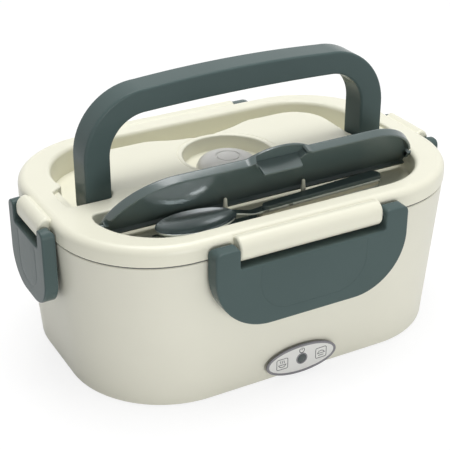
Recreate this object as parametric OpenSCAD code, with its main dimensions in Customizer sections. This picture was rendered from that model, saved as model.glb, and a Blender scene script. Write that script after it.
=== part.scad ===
// Electric lunch box: a heated housing with a lift-off lid that four side latches hold down.
// The lid carries a fold-down handle, a steam valve and a covered recess for a spoon and a fork.
// Millimetres, +Z up. The badge faces -Y, and the origin is on the ground under the middle of the box.

/* [Housing] */
// Length of the housing at its rim
body_len = 224; // [214:1:236]
// Depth of the housing at its rim, front to back
body_dep = 147.5; // [143:0.5:156]
// Height of the housing's rim above the ground
rim_z = 83.4; // [81:0.2:90]
// Corner radius of the housing in plan
body_r = 53.3; // [48:0.1:58]
// How far each end leans in at the ground
end_draft = 6; // [3:0.5:7]
// How far each long side leans in at the ground
side_draft = 2.7; // [1.5:0.1:4]
// Thickness of the housing wall
wall = 2.6; // [2:0.1:3]
// Rounding of the housing's bottom edge
bottom_round = 3; // [1.5:0.5:4]
// How far the rubber feet stand below the housing
stand_off = 0.6; // [0.4:0.1:1.5]
// Thickness of the base cover
base_t = 2.2; // [1.8:0.1:3]
// Radius of a rubber foot
foot_r = 7; // [5:0.5:9]

/* [Heating basin] */
// Clear height under the basin for the heater and wiring
bay_h = 16.9; // [16:0.1:20]
// Thickness of the basin's walls and floor
basin_t = 1.8; // [1.5:0.1:2.4]
// Width of the ledge that carries the food tray's rim
ledge_w = 4.6; // [3.5:0.1:6]
// Radius of the round window over the heater in the basin floor
window_r = 38; // [36:0.5:42]
// Thickness of the aluminium heating plate
plate_t = 1.6; // [1.2:0.1:2.5]
// Radius of the heating plate
plate_r = 44; // [43:0.5:50]
// Thickness of the heating element
ptc_t = 5; // [4:0.5:6]

/* [Food tray] */
// Thickness of the steel tray
tray_t = 0.8; // [0.6:0.1:1.2]
// Width of the tray's rim
tray_rim_w = 5.2; // [4:0.1:6]

/* [Lid] */
// Height of the dark line of seal between housing and lid
seam_h = 0.8; // [0.5:0.1:1.2]
// How far the lid stands out over the housing all round
lid_flare = 0.4; // [0.2:0.1:0.8]
// Height of the lid from the seam to its flat rim
lid_h = 10; // [9:0.1:12]
// Rounding of the lid's top outer edge
lid_round = 4; // [2:0.5:5]
// Wall thickness of the lid
lid_t = 2.3; // [2:0.1:2.6]
// Width of the lid's rim at the two ends
rim_end = 19.2; // [18:0.1:21]
// Width of the lid's rim along the two long sides
rim_side = 12.15; // [11:0.05:13]
// Corner radius of the opening inside the rim
open_r = 37.2; // [34:0.2:40]
// Depth of the cutlery recess below the rim
recess_h = 14.2; // [13.5:0.1:15.5]
// Depth of the trench that takes the folded handle
trench_h = 14.7; // [14.2:0.1:16]
// Height of the raised centre panel above the rim
panel_h = 1.8; // [1:0.1:2.5]
// Radius of the well around the steam valve
well_r = 24.9; // [23:0.1:26]
// Depth of that well below the raised panel
well_h = 9; // [8:0.1:10]
// Radius of the steam valve's dome
valve_r = 17.5; // [15:0.5:19]

/* [Handle] */
// Overall width of the handle
handle_w = 179; // [174:1:181]
// Width of each handle leg
leg_w = 14; // [12:0.5:15]
// Front-to-back thickness of the handle
handle_t = 16.2; // [15:0.1:17]
// Height of the grip's top above the lid's rim
handle_up = 56.8; // [54:0.2:57.6]
// Thickness of the grip bar
grip_h = 13.5; // [11:0.5:14]
// Outer corner radius of the handle
handle_r = 35; // [28:1:40]
// How far the middle of the grip is crowned above its ends
crown = 2; // [0:0.5:3]
// Radius of the handle's pivot pins
hinge_pin_r = 2.5; // [2:0.1:3]

/* [Latches] */
// Half the width of the front and rear latches
long_latch = 55.5; // [50:0.5:60]
// Half the width of the end latches
short_latch = 24; // [23.6:0.1:25.6]
// Half the length of the long hinge bars
long_bar = 41.2; // [34:0.2:42]
// Half the length of the short hinge bars
short_bar = 15.7; // [14:0.1:17]
// How far the latches hang below the lid's rim
latch_drop = 49.4; // [44:0.2:54]
// How far the front and rear latches stand out from the lid
long_reach = 9.35; // [9.25:0.05:9.9]
// How far the end latches stand out from the lid
short_reach = 7.6; // [7.55:0.05:8.2]
// Thickness of the front and rear latches
long_t = 9; // [8:0.1:9]
// Thickness of the end latches
short_t = 7.2; // [6.6:0.1:7.4]
// Radius of the latch pins
latch_pin_r = 1.2; // [1:0.05:1.4]

/* [Cutlery cover] */
// Thickness of the cover's plate
cover_t = 1.6; // [1.4:0.1:1.8]
// Depth of the wall along the cover's curved edge
cover_wall_h = 6; // [5:0.1:7]
// Depth of the lip along the cover's hinge edge
cover_lip_h = 3.9; // [3:0.1:4.5]
// How far the cover's finger tab stands out past its edge
tab_out = 6; // [4:0.5:7]
// Angle at which the cover stands open
cover_open = 58; // [40:1:60]

/* [Badge] */
// Half the length of the oval badge
badge_a = 21.4; // [19:0.1:23]
// Half the height of the oval badge
badge_b = 8.7; // [7.6:0.1:9]
// Radius of the indicator window
lamp_r = 2.7; // [2:0.1:3.2]

/* [Hidden] */
$fn = 64;

ivory = "#E6E3D3";
slate = "#54625F";
steel = "#C9CCCC";
alu = "#B9BCBE";
seal_grey = "#55585A";

// Clearances
fit = 0.05;     // running fit, on the radius
snug = 0.02;    // pressed-in pins, on the radius
gap = 0.3;      // between pieces that sit beside each other
eps = 0.01;

// Housing
hx = body_len / 2;
hy = body_dep / 2;
function wall_x(z) = hx - end_draft * (1 - z / rim_z);
function wall_y(z) = hy - side_draft * (1 - z / rim_z);
base_z0 = stand_off + 0.3;
base_z1 = base_z0 + base_t;
base_in = wall + gap;
support_h = 1.6;
support_w = 3;

// Lid heights
lid_z = rim_z + seam_h;
top_z = lid_z + lid_h;
panel_z = top_z + panel_h;
lid_x = hx + lid_flare;
lid_y = hy + lid_flare;
lid_r = body_r + lid_flare;
open_x = lid_x - rim_end;
open_y = lid_y - rim_side;
recess_z = top_z - recess_h;
trench_z = top_z - trench_h;
pan_z = min(recess_z, trench_z) - lid_t;
pan_x = open_x + lid_t + 1.5;
pan_y = open_y + lid_t + 0.9;
pan_r = open_r + lid_t;
inner_plate_t = 1.8;
inner_plate_z = pan_z - inner_plate_t;

// Heating basin: the lid's pan drops inside its collar, and the tray's rim sits on its ledge
floor_z0 = base_z1 + bay_h;
floor_z1 = floor_z0 + basin_t;
collar_x = pan_x + 2;
collar_y = pan_y + 2;
collar_r = pan_r + 2;
tray_rim_t = 1.3;
tray_top = inner_plate_z - 1.4;
ledge_z = tray_top - tray_rim_t - 0.1;
well_x = collar_x - ledge_w;
well_y = collar_y - ledge_w;
basin_r = collar_r - ledge_w;
flange_t = 2;
rebate = 1.2;
boss_r = 3.5;
screw_r = 1.2;
base_screw_at = [[84, 0], [-84, 0], [50, 48], [-50, 48], [50, -48], [-50, -48]];
foot_at = [[70, 34], [-70, 34], [70, -34], [-70, -34]];
base_screw_l = 11;

// Heater under the plate
ptc_x = 22;
ptc_y = 16;
ptc_z = floor_z1 - ptc_t;
clamp_t = 1.6;
clamp_w = 5;
clamp_z = ptc_z - clamp_t;
clamp_screw_y = window_r + 6;
clamp_end = clamp_screw_y + 4;
thermo_r = 6.6;
thermo_x = -(ptc_x + thermo_r + 1);
thermo_h = 11;
fuse_r = 2;
fuse_l = 12;
fuse_y = ptc_y + fuse_r + 5;
fuse_z = floor_z1 - fuse_r - gap;

// Power inlet in the rear wall: two round pins 8.6 mm apart
pin_pitch = 8.6;
pin_r = 1.2;
pin_l = 12.8;
inlet_z = base_z1 + 8.6;
inlet_w = 22;
inlet_h = 13;
inlet_y1 = wall_y(inlet_z) + 1.2;
socket_w = 16.2;
socket_h = 8.8;
socket_l = 15;
inlet_back = inlet_y1 - socket_l - 3;
pin_back = inlet_back - 3;

// Badge and lamp
badge_z = 10;
badge_y = wall_y(badge_z) + 2.6;
boss_a = badge_a + 2.8;
boss_b = badge_b + 1;
panel_t = 0.6;
board_y = wall_y(badge_z) - wall - 3;
board_t = 1.6;
board_a = 16;
board_b = 5;
board_screw_x = 12;
board_lead_x = board_screw_x - 4;
board_lead_y = ptc_y - 6;
led_r = 1.6;

// Latches: "out" is measured from the lid's outer face
function is_long(side) = side == "front" || side == "rear";
function latch_out(side) = is_long(side) ? long_reach : short_reach;
function latch_in(side) = latch_out(side) - (is_long(side) ? long_t : short_t);
function pin_out(side) = is_long(side) ? long_reach - 4.5 : short_reach - 3.5;
function bar_out(side) = pin_out(side) + (is_long(side) ? 2.5 : 2.2);
bar_r = 5.5;
bar_z = top_z - 13.2;
bar_low_r = 4;
pin_z = top_z - 7.2;
latch_z = top_z - latch_drop;
notch_z = bar_z - 1.4;
function latch_top(side) = pin_z + min(4.2, pin_out(side) - 0.3);
arm_r = 4.5;
arm_gap = 0.8;
arm_clear = 0.25;
hook_h = 4;
hook_z = latch_z + 5;
hook_tip = 0.35 - lid_flare;
catch_z = hook_z + hook_h + 0.4;
catch_h = 2.4;
catch_tip = hook_tip - 0.2;
long_corner = 31;
short_corner = 18;
long_bore = 10;
short_bore = 6;
groove_w = 1;
groove_d = 0.5;

// Cutlery cover, drawn shut and then turned open about its axis
cover_gap = 0.5;
web_y0 = -21.8;
cover_rear = web_y0 - 1;
cover_z = panel_z;
axis_y = cover_rear - 10.8;
axis_z = panel_z - 3.8;
cover_edge = 1.6;
stub_r = 1.2;
stub_x = open_x - open_r + sqrt(pow(open_r, 2) - pow(axis_y + open_y - open_r, 2));
tongue_x = 12.5;
tongue_h = 10;

// Handle
pivot_y = -1;
pivot_z = top_z - 5.5;
leg_out = handle_w / 2;
leg_in = leg_out - leg_w;
handle_z = top_z + handle_up;
web_y1 = pivot_y - handle_t / 2 - 0.4;
panel_x = leg_in - 1;
panel_y = pivot_y + (handle_z - pivot_z) - grip_h - 4;
pocket_x = open_x + 6.8;
pocket_y = 11;
pocket_z = pan_z + 7 + lid_t;
pocket_r = 4;
pocket_w = pocket_x - open_x + 2 * pocket_r;
pocket_l = pocket_y - web_y1 + 2 * pocket_r;
valve_y = 6.6;
well_z = panel_z - well_h;
vent_r = 4.2;

// Cutlery
fork_z = recess_z + 0.4;
strip_t = 1.2;
grip_t = 2.2;
spoon_z = fork_z + strip_t + grip_t + 0.3;
bowl_rim = spoon_z + 5.2;
bowl_x = -46;
bowl_y = -44.2;
bowl_a = 22;
bowl_b = 12;
bowl_d = 6.4;
cutlery_end = 70;
spoon_neck = -10;
fork_neck = -14;
neck_half = 2.6;
end_half = 4.3;
grip_side = 0.3;
grip_neck = 6;
head_l = 26;
tine_l = 26;
tine_w = 2.4;
tine_pitch = 4;

// Rounded rectangle with half sizes a and b
module plan(a, b, r) {
    square([2 * (a - r), 2 * b], center = true);
    square([2 * a, 2 * (b - r)], center = true);
    for (sx = [-1, 1], sy = [-1, 1])
        translate([sx * (a - r), sy * (b - r)]) circle(r = r);
}

module slab(a, b, r, z0, z1) {
    translate([0, 0, z0]) linear_extrude(z1 - z0) plan(a, b, r);
}

function oval(a, b, n = 64) = [for (i = [0:n - 1]) [a * cos(360 * i / n), b * sin(360 * i / n)]];

// Turns a shape drawn with +Y as "outward from the lid's face" to one of the four sides
module on_side(side) {
    turn = side == "front" ? 180 : side == "rear" ? 0 : side == "left" ? 90 : -90;
    face = is_long(side) ? lid_y : lid_x;
    rotate([0, 0, turn]) translate([0, face, 0]) children();
}

// Extrudes a drawing of (x, z) along Y from y0 to y1
module upright(y0, y1) {
    translate([0, y1, 0]) rotate([90, 0, 0]) linear_extrude(y1 - y0) children();
}

// Extrudes a drawing of (y, z) along X from x0 to x1
module lengthwise(x0, x1) {
    translate([x0, 0, 0]) rotate([90, 0, 90]) linear_extrude(x1 - x0) children();
}

module rod_x(r, x0, x1, y, z) {
    translate([x0, y, z]) rotate([0, 90, 0]) cylinder(r = r, h = x1 - x0);
}

module rod_y(r, y0, y1, x, z) {
    translate([x, y0, z]) rotate([-90, 0, 0]) cylinder(r = r, h = y1 - y0);
}

// ---- Housing ----

module housing_level(z, inset) {
    slab(wall_x(z) - inset, wall_y(z) - inset, body_r - inset, z, z + eps, $fn = 48);
}

module catch_rib(side, half) {
    face_gap = is_long(side) ? lid_y - wall_y(catch_z + catch_h) : lid_x - wall_x(catch_z + catch_h);
    on_side(side) translate([-half, -face_gap - 1, catch_z])
        cube([2 * half, catch_tip + face_gap + 1, catch_h]);
}

module badge_boss() {
    intersection() {
        upright(-badge_y, -wall_y(badge_z) + 1) translate([0, badge_z]) polygon(oval(boss_a, boss_b));
        translate([-boss_a, -badge_y - 1, stand_off]) cube([2 * boss_a, badge_y, 2 * badge_z]);
    }
}

module outer_housing() {
    color(ivory) difference() {
        union() {
            difference() {
                hull() {
                    housing_level(rim_z - eps, 0);
                    housing_level(stand_off + bottom_round, 0);
                    housing_level(stand_off + bottom_round * 0.3, bottom_round * 0.3);
                    housing_level(stand_off, bottom_round);
                }
                // inside, above and below the ledge that the base cover rests under
                hull() {
                    housing_level(rim_z + 1, wall);
                    housing_level(base_z1 + support_h, wall);
                }
                hull() {
                    housing_level(base_z1 - eps, wall);
                    housing_level(stand_off - 1, wall);
                }
                slab(wall_x(0) - wall - support_w, wall_y(0) - wall - support_w, body_r - wall - support_w,
                     base_z1 - 1, base_z1 + support_h + 1);
            }
            badge_boss();
            for (side = ["front", "rear"]) catch_rib(side, long_latch * 0.4);
            for (side = ["left", "right"]) catch_rib(side, short_latch * 0.5);
            for (s = [-1, 1]) rod_y(2.4, -wall_y(badge_z) + wall / 2, -board_y, s * board_screw_x, badge_z);
        }
        // rebate for the basin's flange
        slab(hx - wall + rebate, hy - wall + rebate, body_r - wall + rebate, rim_z - flange_t, rim_z + 1);
        // hole for the power inlet
        translate([-inlet_w / 2 - gap, wall_y(0) - wall - 2, inlet_z - inlet_h / 2 - gap])
            cube([inlet_w + 2 * gap, wall + 10, inlet_h + 2 * gap]);
        // hole for the light guide, seat for the badge and pilot holes for the board
        rod_y(lamp_r + snug, -badge_y - 1, -board_y, 0, badge_z);
        upright(-badge_y - 1, -badge_y + panel_t) translate([0, badge_z])
            polygon(oval(badge_a, badge_b));
        for (s = [-1, 1]) rod_y(0.8, -board_y - 4, -board_y + 1, s * board_screw_x, badge_z);
    }
}

module heating_basin() {
    color("#DAD7C8") difference() {
        union() {
            slab(hx - wall + rebate - 0.2, hy - wall + rebate - 0.2, body_r - wall + rebate - 0.2,
                 rim_z - flange_t, rim_z);
            slab(collar_x + basin_t, collar_y + basin_t, collar_r + basin_t, ledge_z - basin_t, rim_z - flange_t);
            slab(well_x + basin_t, well_y + basin_t, basin_r + basin_t, floor_z0, ledge_z);
            for (p = base_screw_at) translate([p[0], p[1], base_z1]) cylinder(r = boss_r, h = bay_h + eps);
            for (s = [-1, 1]) translate([0, s * clamp_screw_y, ptc_z])
                cylinder(r = boss_r, h = floor_z0 - ptc_z + eps);
        }
        slab(collar_x, collar_y, collar_r, ledge_z, rim_z + 1);
        slab(well_x, well_y, basin_r, floor_z1, rim_z);
        translate([0, 0, floor_z0 - 1]) cylinder(r = window_r, h = basin_t + 2);
        for (p = base_screw_at) translate([p[0], p[1], base_z1 - 1]) cylinder(r = screw_r + snug, h = base_screw_l + 1.5);
        for (s = [-1, 1]) translate([0, s * clamp_screw_y, ptc_z - 1])
            cylinder(r = screw_r + snug, h = floor_z0 - ptc_z + 1);
    }
}

module base_cover() {
    a = wall_x(base_z0) - base_in;
    b = wall_y(base_z0) - base_in;
    color("#CFCCBE") difference() {
        slab(a, b, body_r - base_in, base_z0, base_z1);
        for (p = base_screw_at) translate([p[0], p[1], base_z0 - 1]) {
            cylinder(r = screw_r + 0.4, h = base_t + 2);
            cylinder(r = 2.9, h = 2.2);
        }
        for (p = foot_at) translate([p[0], p[1], base_z0 - 1]) cylinder(r = foot_r + 0.1, h = 2.2);
    }
}

module base_screws() {
    color(steel) for (p = base_screw_at) translate([p[0], p[1], 0]) {
        translate([0, 0, base_z0]) cylinder(r = 2.6, h = 1.2);
        translate([0, 0, base_z0 + 1]) cylinder(r = screw_r, h = base_t - 1 + base_screw_l);
    }
}

module rubber_feet() {
    color("#3F4341") for (p = foot_at) translate([p[0], p[1], 0]) {
        cylinder(r1 = foot_r - 0.6, r2 = foot_r, h = stand_off);
        translate([0, 0, stand_off]) cylinder(r = foot_r, h = base_z0 + 1.2 - stand_off);
    }
}

module heating_plate() {
    color(alu) translate([0, 0, floor_z1]) cylinder(r = plate_r, h = plate_t);
}

module ptc_heater() {
    color("#8F9496") translate([-ptc_x, -ptc_y, ptc_z]) cube([2 * ptc_x, 2 * ptc_y, ptc_t]);
}

module heater_clamp() {
    color("#A7ABAD") difference() {
        translate([-clamp_w, -clamp_end, clamp_z]) cube([2 * clamp_w, 2 * clamp_end, clamp_t]);
        for (s = [-1, 1]) translate([0, s * clamp_screw_y, clamp_z - 1])
            cylinder(r = screw_r + 0.4, h = clamp_t + 2);
    }
}

module clamp_screws() {
    color(steel) for (s = [-1, 1]) translate([0, s * clamp_screw_y, 0]) {
        translate([0, 0, clamp_z - 1.8]) cylinder(r = 2.8, h = 1.8);
        translate([0, 0, clamp_z - 0.5]) cylinder(r = screw_r, h = floor_z0 - clamp_z);
    }
}

module thermostat() {
    color("#6D675C") translate([thermo_x, 0, floor_z1 - thermo_h]) {
        cylinder(r = thermo_r, h = thermo_h - 3);
        translate([0, 0, thermo_h - 3]) cylinder(r = thermo_r - 0.6, h = 3);
    }
}

module thermal_fuse() {
    color("#D8D2C2") rod_x(fuse_r, -fuse_l / 2, fuse_l / 2, fuse_y, fuse_z);
}

module power_inlet() {
    color("#2E3130") difference() {
        union() {
            translate([-inlet_w / 2, inlet_back, inlet_z - inlet_h / 2])
                cube([inlet_w, inlet_y1 - inlet_back, inlet_h]);
            translate([-inlet_w / 2 - 1.8, wall_y(inlet_z) + 0.4, inlet_z - inlet_h / 2 - 1])
                cube([inlet_w + 3.6, inlet_y1 - wall_y(inlet_z) - 0.4, inlet_h + 2]);
        }
        upright(inlet_y1 - socket_l, inlet_y1 + 1) translate([0, inlet_z])
            plan(socket_w / 2, socket_h / 2, socket_h / 2 - 0.2);
        for (s = [-1, 1]) rod_y(pin_r + snug, inlet_back - 1, inlet_y1, s * pin_pitch / 2, inlet_z);
    }
}

module inlet_pins() {
    color(steel) for (s = [-1, 1])
        rod_y(pin_r, pin_back, inlet_y1 - socket_l + pin_l, s * pin_pitch / 2, inlet_z);
}

// A lead that runs along the axes: a start point, then steps, with a round bend at each turn
module lead(start, steps, r = 0.9, bend = 2.2) {
    for (i = [0:len(steps) - 1]) {
        p = start + vector_sum(steps, i);
        d = steps[i] / norm(steps[i]);
        from = i == 0 ? 0 : bend;
        to = norm(steps[i]) - (i == len(steps) - 1 ? 0 : bend);
        translate(p + from * d) rotate([0, acos(d[2]), atan2(d[1], d[0])]) cylinder(r = r, h = to - from);
        if (i > 0) {
            e = steps[i - 1] / norm(steps[i - 1]);
            c = p - bend * e + bend * d;
            z = cross(e, d);
            multmatrix([[-d[0], e[0], z[0], c[0]], [-d[1], e[1], z[1], c[1]], [-d[2], e[2], z[2], c[2]], [0, 0, 0, 1]])
                rotate_extrude(angle = 90) translate([bend, 0]) circle(r = r);
        }
    }
}

function vector_sum(v, n) = n <= 0 ? [0, 0, 0] : v[n - 1] + vector_sum(v, n - 1);

module lead_wires() {
    low = base_z1 + 2.2;
    side = fuse_y + 8;
    color("#B44A3A") {
        // mains in, through the fuse and the thermostat to the heater, and back out
        lead([-pin_pitch / 2, pin_back, inlet_z], [[0, side - pin_back, 0], [-14, 0, 0], [0, 0, fuse_z - inlet_z],
             [0, fuse_y - side, 0], [14 + pin_pitch / 2 - fuse_l / 2, 0, 0]]);
        lead([fuse_l / 2, fuse_y, fuse_z], [[8, 0, 0], [0, 0, low - fuse_z], [thermo_x - 8 - fuse_l / 2, 0, 0],
             [0, 3 - fuse_y, 0], [0, 0, floor_z1 - thermo_h - low]]);
        lead([thermo_x, -3, floor_z1 - thermo_h], [[0, 0, low - floor_z1 + thermo_h], [0, -9, 0],
             [-ptc_x + 5 - thermo_x, 0, 0], [0, 0, ptc_z - low]]);
        lead([pin_pitch / 2, pin_back, inlet_z], [[0, 10 - pin_back, 0], [ptc_x - 5 - pin_pitch / 2, 0, 0],
             [0, 0, ptc_z - inlet_z]]);
        // heater to the lamp's board
        for (s = [-1, 1]) lead([s * board_lead_x, -board_lead_y, ptc_z],
                               [[0, 0, badge_z - ptc_z], [0, board_lead_y - board_y + board_t, 0]]);
    }
}

module lamp_board() {
    color("#3F6B4A") difference() {
        translate([-board_a, -board_y, badge_z - board_b]) cube([2 * board_a, board_t, 2 * board_b]);
        for (s = [-1, 1]) rod_y(1, -board_y - 1, -board_y + board_t + 1, s * board_screw_x, badge_z);
    }
}

module board_screws() {
    color(steel) for (s = [-1, 1]) {
        rod_y(0.78, -board_y - 3, -board_y + board_t + 0.5, s * board_screw_x, badge_z);
        rod_y(1.7, -board_y + board_t, -board_y + board_t + 1.2, s * board_screw_x, badge_z);
    }
}

module indicator_led() {
    color("#B9C4B8") {
        rod_y(led_r, -board_y - led_r, -board_y, 0, badge_z);
        translate([0, -board_y - led_r, badge_z]) sphere(r = led_r);
    }
}

module light_guide() {
    color("#2F3B3A") rod_y(lamp_r, -badge_y - 0.1, -board_y - 3.6, 0, badge_z);
}

module badge_panel() {
    color("#E9E8E2") difference() {
        upright(-badge_y, -badge_y + panel_t) translate([0, badge_z])
            polygon(oval(badge_a - 1.6, badge_b - 1.6));
        rod_y(lamp_r + 0.1, -badge_y - 1, -badge_y + 2, 0, badge_z);
    }
}

module badge_ring() {
    color("#8E9291") difference() {
        upright(-badge_y - 0.4, -badge_y + panel_t) translate([0, badge_z])
            polygon(oval(badge_a - 0.1, badge_b - 0.1));
        upright(-badge_y - 1, -badge_y + panel_t + 1) translate([0, badge_z])
            polygon(oval(badge_a - 1.5, badge_b - 1.5));
    }
}

// ---- Food tray ----

module food_tray() {
    a = collar_x - tray_rim_w - 1;
    b = collar_y - tray_rim_w - 1;
    r = collar_r - tray_rim_w - 1;
    tray_z = floor_z1 + plate_t + 0.4;
    color(steel) difference() {
        union() {
            slab(collar_x - 1, collar_y - 1, collar_r - 1, tray_top - tray_rim_t, tray_top);
            slab(a, b, r, tray_z, tray_top - 0.1);
        }
        slab(a - tray_t, b - tray_t, r - tray_t, tray_z + tray_t, tray_top + 1);
        difference() {
            slab(collar_x - 1.5, collar_y - 1.5, collar_r - 1.5, tray_top - tray_rim_t - 1, tray_top - tray_t);
            slab(a, b, r, tray_z, tray_top);
        }
    }
}

// ---- Lid ----

module opening_plan(inset = 0) {
    plan(open_x - inset, open_y - inset, open_r - inset);
}

// The part of the opening in front of the web, for the recess and its cover
module front_plan(rear, inset = 0) {
    intersection() {
        opening_plan(inset);
        translate([-lid_x, -lid_y]) square([2 * lid_x, lid_y + rear]);
    }
}

module trench_plan() {
    intersection() {
        opening_plan();
        translate([-lid_x, web_y1]) square([2 * lid_x, 2 * lid_y]);
    }
}

// Shallow pockets beside the handle's pivots, one at each end of the trench
module pocket_plan() {
    for (s = [-1, 1]) intersection() {
        translate([-pocket_x, web_y1]) square([2 * pocket_x, pocket_y - web_y1]);
        translate([s * (pocket_x - pocket_w / 2), pocket_y - pocket_l / 2]) plan(pocket_w / 2, pocket_l / 2, pocket_r);
    }
}

// Raised centre panel with round rear corners and a finger scoop in its rear edge
module panel_plan(inset = 0) {
    r = 21 - inset;
    scoop_r = 62.5 + inset;
    x = panel_x - inset;
    y = panel_y - inset;
    difference() {
        union() {
            translate([-x, web_y1 - 4]) square([2 * x, y - r - web_y1 + 4]);
            translate([-x + r, web_y1 - 4]) square([2 * (x - r), y - web_y1 + 4]);
            for (s = [-1, 1]) translate([s * (x - r), y - r]) circle(r = r);
        }
        translate([0, y - 7.8 + scoop_r]) circle(r = scoop_r, $fn = 128);
    }
}

module bar_form(out) {
    translate([-3, lid_z]) square([3 + out - bar_r, lid_h]);
    intersection() {
        translate([out - bar_r, top_z - bar_r]) circle(r = bar_r);
        translate([out - bar_r, top_z - bar_r]) square(bar_r);
    }
    translate([0.2, bar_z]) square([out - 0.2 - bar_low_r, top_z - bar_r - bar_z]);
    translate([0.2, bar_z + bar_low_r]) square([out - 0.2, top_z - bar_r - bar_z - bar_low_r]);
    intersection() {
        translate([out - bar_low_r, bar_z + bar_low_r]) circle(r = bar_low_r);
        translate([out - bar_low_r, bar_z]) square(bar_low_r);
    }
}

// Hinge bar for a latch, bored for its pin
module hinge_bar(side, half) {
    on_side(side) difference() {
        lengthwise(-half, half) bar_form(bar_out(side));
        rod_x(latch_pin_r + snug, -half - 1, half + 1, pin_out(side), pin_z);
    }
}

module peg(x, y, tip_z, r0, r1) {
    translate([x, y, recess_z - 1]) cylinder(r1 = r0, r2 = r1, h = tip_z - recess_z + 1);
}

module lid_shell() {
    color(ivory) {
        difference() {
            union() {
                // rim with a rounded top edge, hollow below
                difference() {
                    hull() {
                        slab(lid_x, lid_y, lid_r, lid_z, top_z - lid_round);
                        slab(lid_x - lid_round * 0.134, lid_y - lid_round * 0.134, lid_r - lid_round * 0.134,
                             lid_z, top_z - lid_round * 0.5);
                        slab(lid_x - lid_round * 0.5, lid_y - lid_round * 0.5, lid_r - lid_round * 0.5,
                             lid_z, top_z - lid_round * 0.134);
                        slab(lid_x - lid_round, lid_y - lid_round, lid_r - lid_round, lid_z, top_z);
                    }
                    slab(lid_x - lid_t, lid_y - lid_t, lid_r - lid_t, lid_z - 1, top_z - lid_t);
                }
                slab(pan_x, pan_y, pan_r, pan_z, top_z);
                for (s = [-1, 1]) translate([s * (pocket_x + lid_t) - (s > 0 ? 14 : 0), web_y1 - lid_t, pan_z + 7])
                    cube([14, pocket_y - web_y1 + 2 * lid_t, top_z - pan_z - 7]);
                translate([0, 0, top_z]) linear_extrude(panel_h) {
                    panel_plan();
                    translate([0, valve_y]) circle(r = well_r + 3.1);
                }
            }
            translate([0, 0, recess_z]) linear_extrude(20) front_plan(web_y0);
            translate([0, 0, trench_z]) linear_extrude(20) difference() {
                trench_plan();
                panel_plan();
            }
            translate([0, 0, pocket_z]) linear_extrude(20) pocket_plan();
            // hollows under the raised panel, the web and the well
            difference() {
                translate([0, 0, pan_z - 1]) linear_extrude(panel_z - lid_t - pan_z + 1) intersection() {
                    panel_plan(lid_t);
                    translate([-lid_x, web_y1 - 1]) square([2 * lid_x, 2 * lid_y]);
                }
                translate([0, valve_y, pan_z - 2]) cylinder(r = well_r + lid_t, h = panel_z);
                for (s = [-1, 1]) rod_x(hinge_pin_r + 2.4, s > 0 ? panel_x - 10 : -panel_x,
                                        s > 0 ? panel_x : -panel_x + 10, pivot_y, pivot_z);
            }
            translate([0, valve_y, pan_z - 1]) difference() {
                cylinder(r = well_r, h = well_z - lid_t - pan_z + 1);
                cylinder(r = vent_r + 2, h = panel_z);
            }
            translate([0, valve_y, well_z]) cylinder(r = well_r, h = 2 * well_h);
            translate([0, valve_y, pan_z - 1]) cylinder(r = vent_r, h = well_z - pan_z + 2);
            // hollow under the web
            translate([-open_x + 4, web_y0 + lid_t, pan_z - 1])
                cube([2 * open_x - 8, web_y1 - web_y0 - 2 * lid_t, top_z - lid_t - pan_z + 1]);
            // sockets of the cover's stubs and bores of the handle's pins
            for (s = [-1, 1]) {
                rod_x(stub_r + fit, s > 0 ? stub_x - 2 : -stub_x - 2.2, s > 0 ? stub_x + 2.2 : -stub_x + 2,
                      axis_y, axis_z);
                rod_x(hinge_pin_r + fit, s > 0 ? panel_x - 12 : -panel_x - 1, s > 0 ? panel_x + 1 : -panel_x + 12,
                      pivot_y, pivot_z);
            }
        }
        hinge_bar("front", long_bar);
        hinge_bar("rear", long_bar);
        hinge_bar("left", short_bar);
        hinge_bar("right", short_bar);
        // pegs that hold the cutlery in place
        for (s = [-1, 1]) {
            peg(s * 23.5, -33.4, axis_z - 0.3, 1.7, 0.7);
            peg(5.5 + s * 7.5, -48.2, recess_z + 4.8, 1.3, 0.9);
        }
    }
}

module lid_inner_plate() {
    color("#DAD7C8") difference() {
        slab(pan_x, pan_y, pan_r, inner_plate_z, pan_z);
        translate([0, valve_y, inner_plate_z - 1]) cylinder(r = vent_r + 0.6, h = inner_plate_t + 2);
    }
}

module lid_seal() {
    color(seal_grey) difference() {
        union() {
            slab(hx - 0.5, hy - 0.5, body_r - 0.5, rim_z, lid_z);
            slab(pan_x + 1.6, pan_y + 1.6, pan_r + 1.6, rim_z - 4, rim_z + eps);
        }
        slab(pan_x + 0.1, pan_y + 0.1, pan_r + 0.1, rim_z - 5, lid_z + 1);
    }
}

module steam_valve() {
    h = panel_z - 1.4 - well_z;
    top_r = 7;
    color("#A9A8AC") {
        translate([0, valve_y, well_z]) rotate_extrude()
            polygon(concat([[0, 0.1], [valve_r, 0.1], [valve_r, 1.2]],
                           [for (a = [10:10:90]) [top_r + (valve_r - top_r - 0.4) * cos(a) , 1.2 + (h - 1.2) * sin(a)]],
                           [[0, h]]));
        translate([0, valve_y, inner_plate_z - 1]) cylinder(r = vent_r - 0.5, h = well_z - inner_plate_z + 1.2);
    }
}

// ---- Cutlery cover ----

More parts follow.
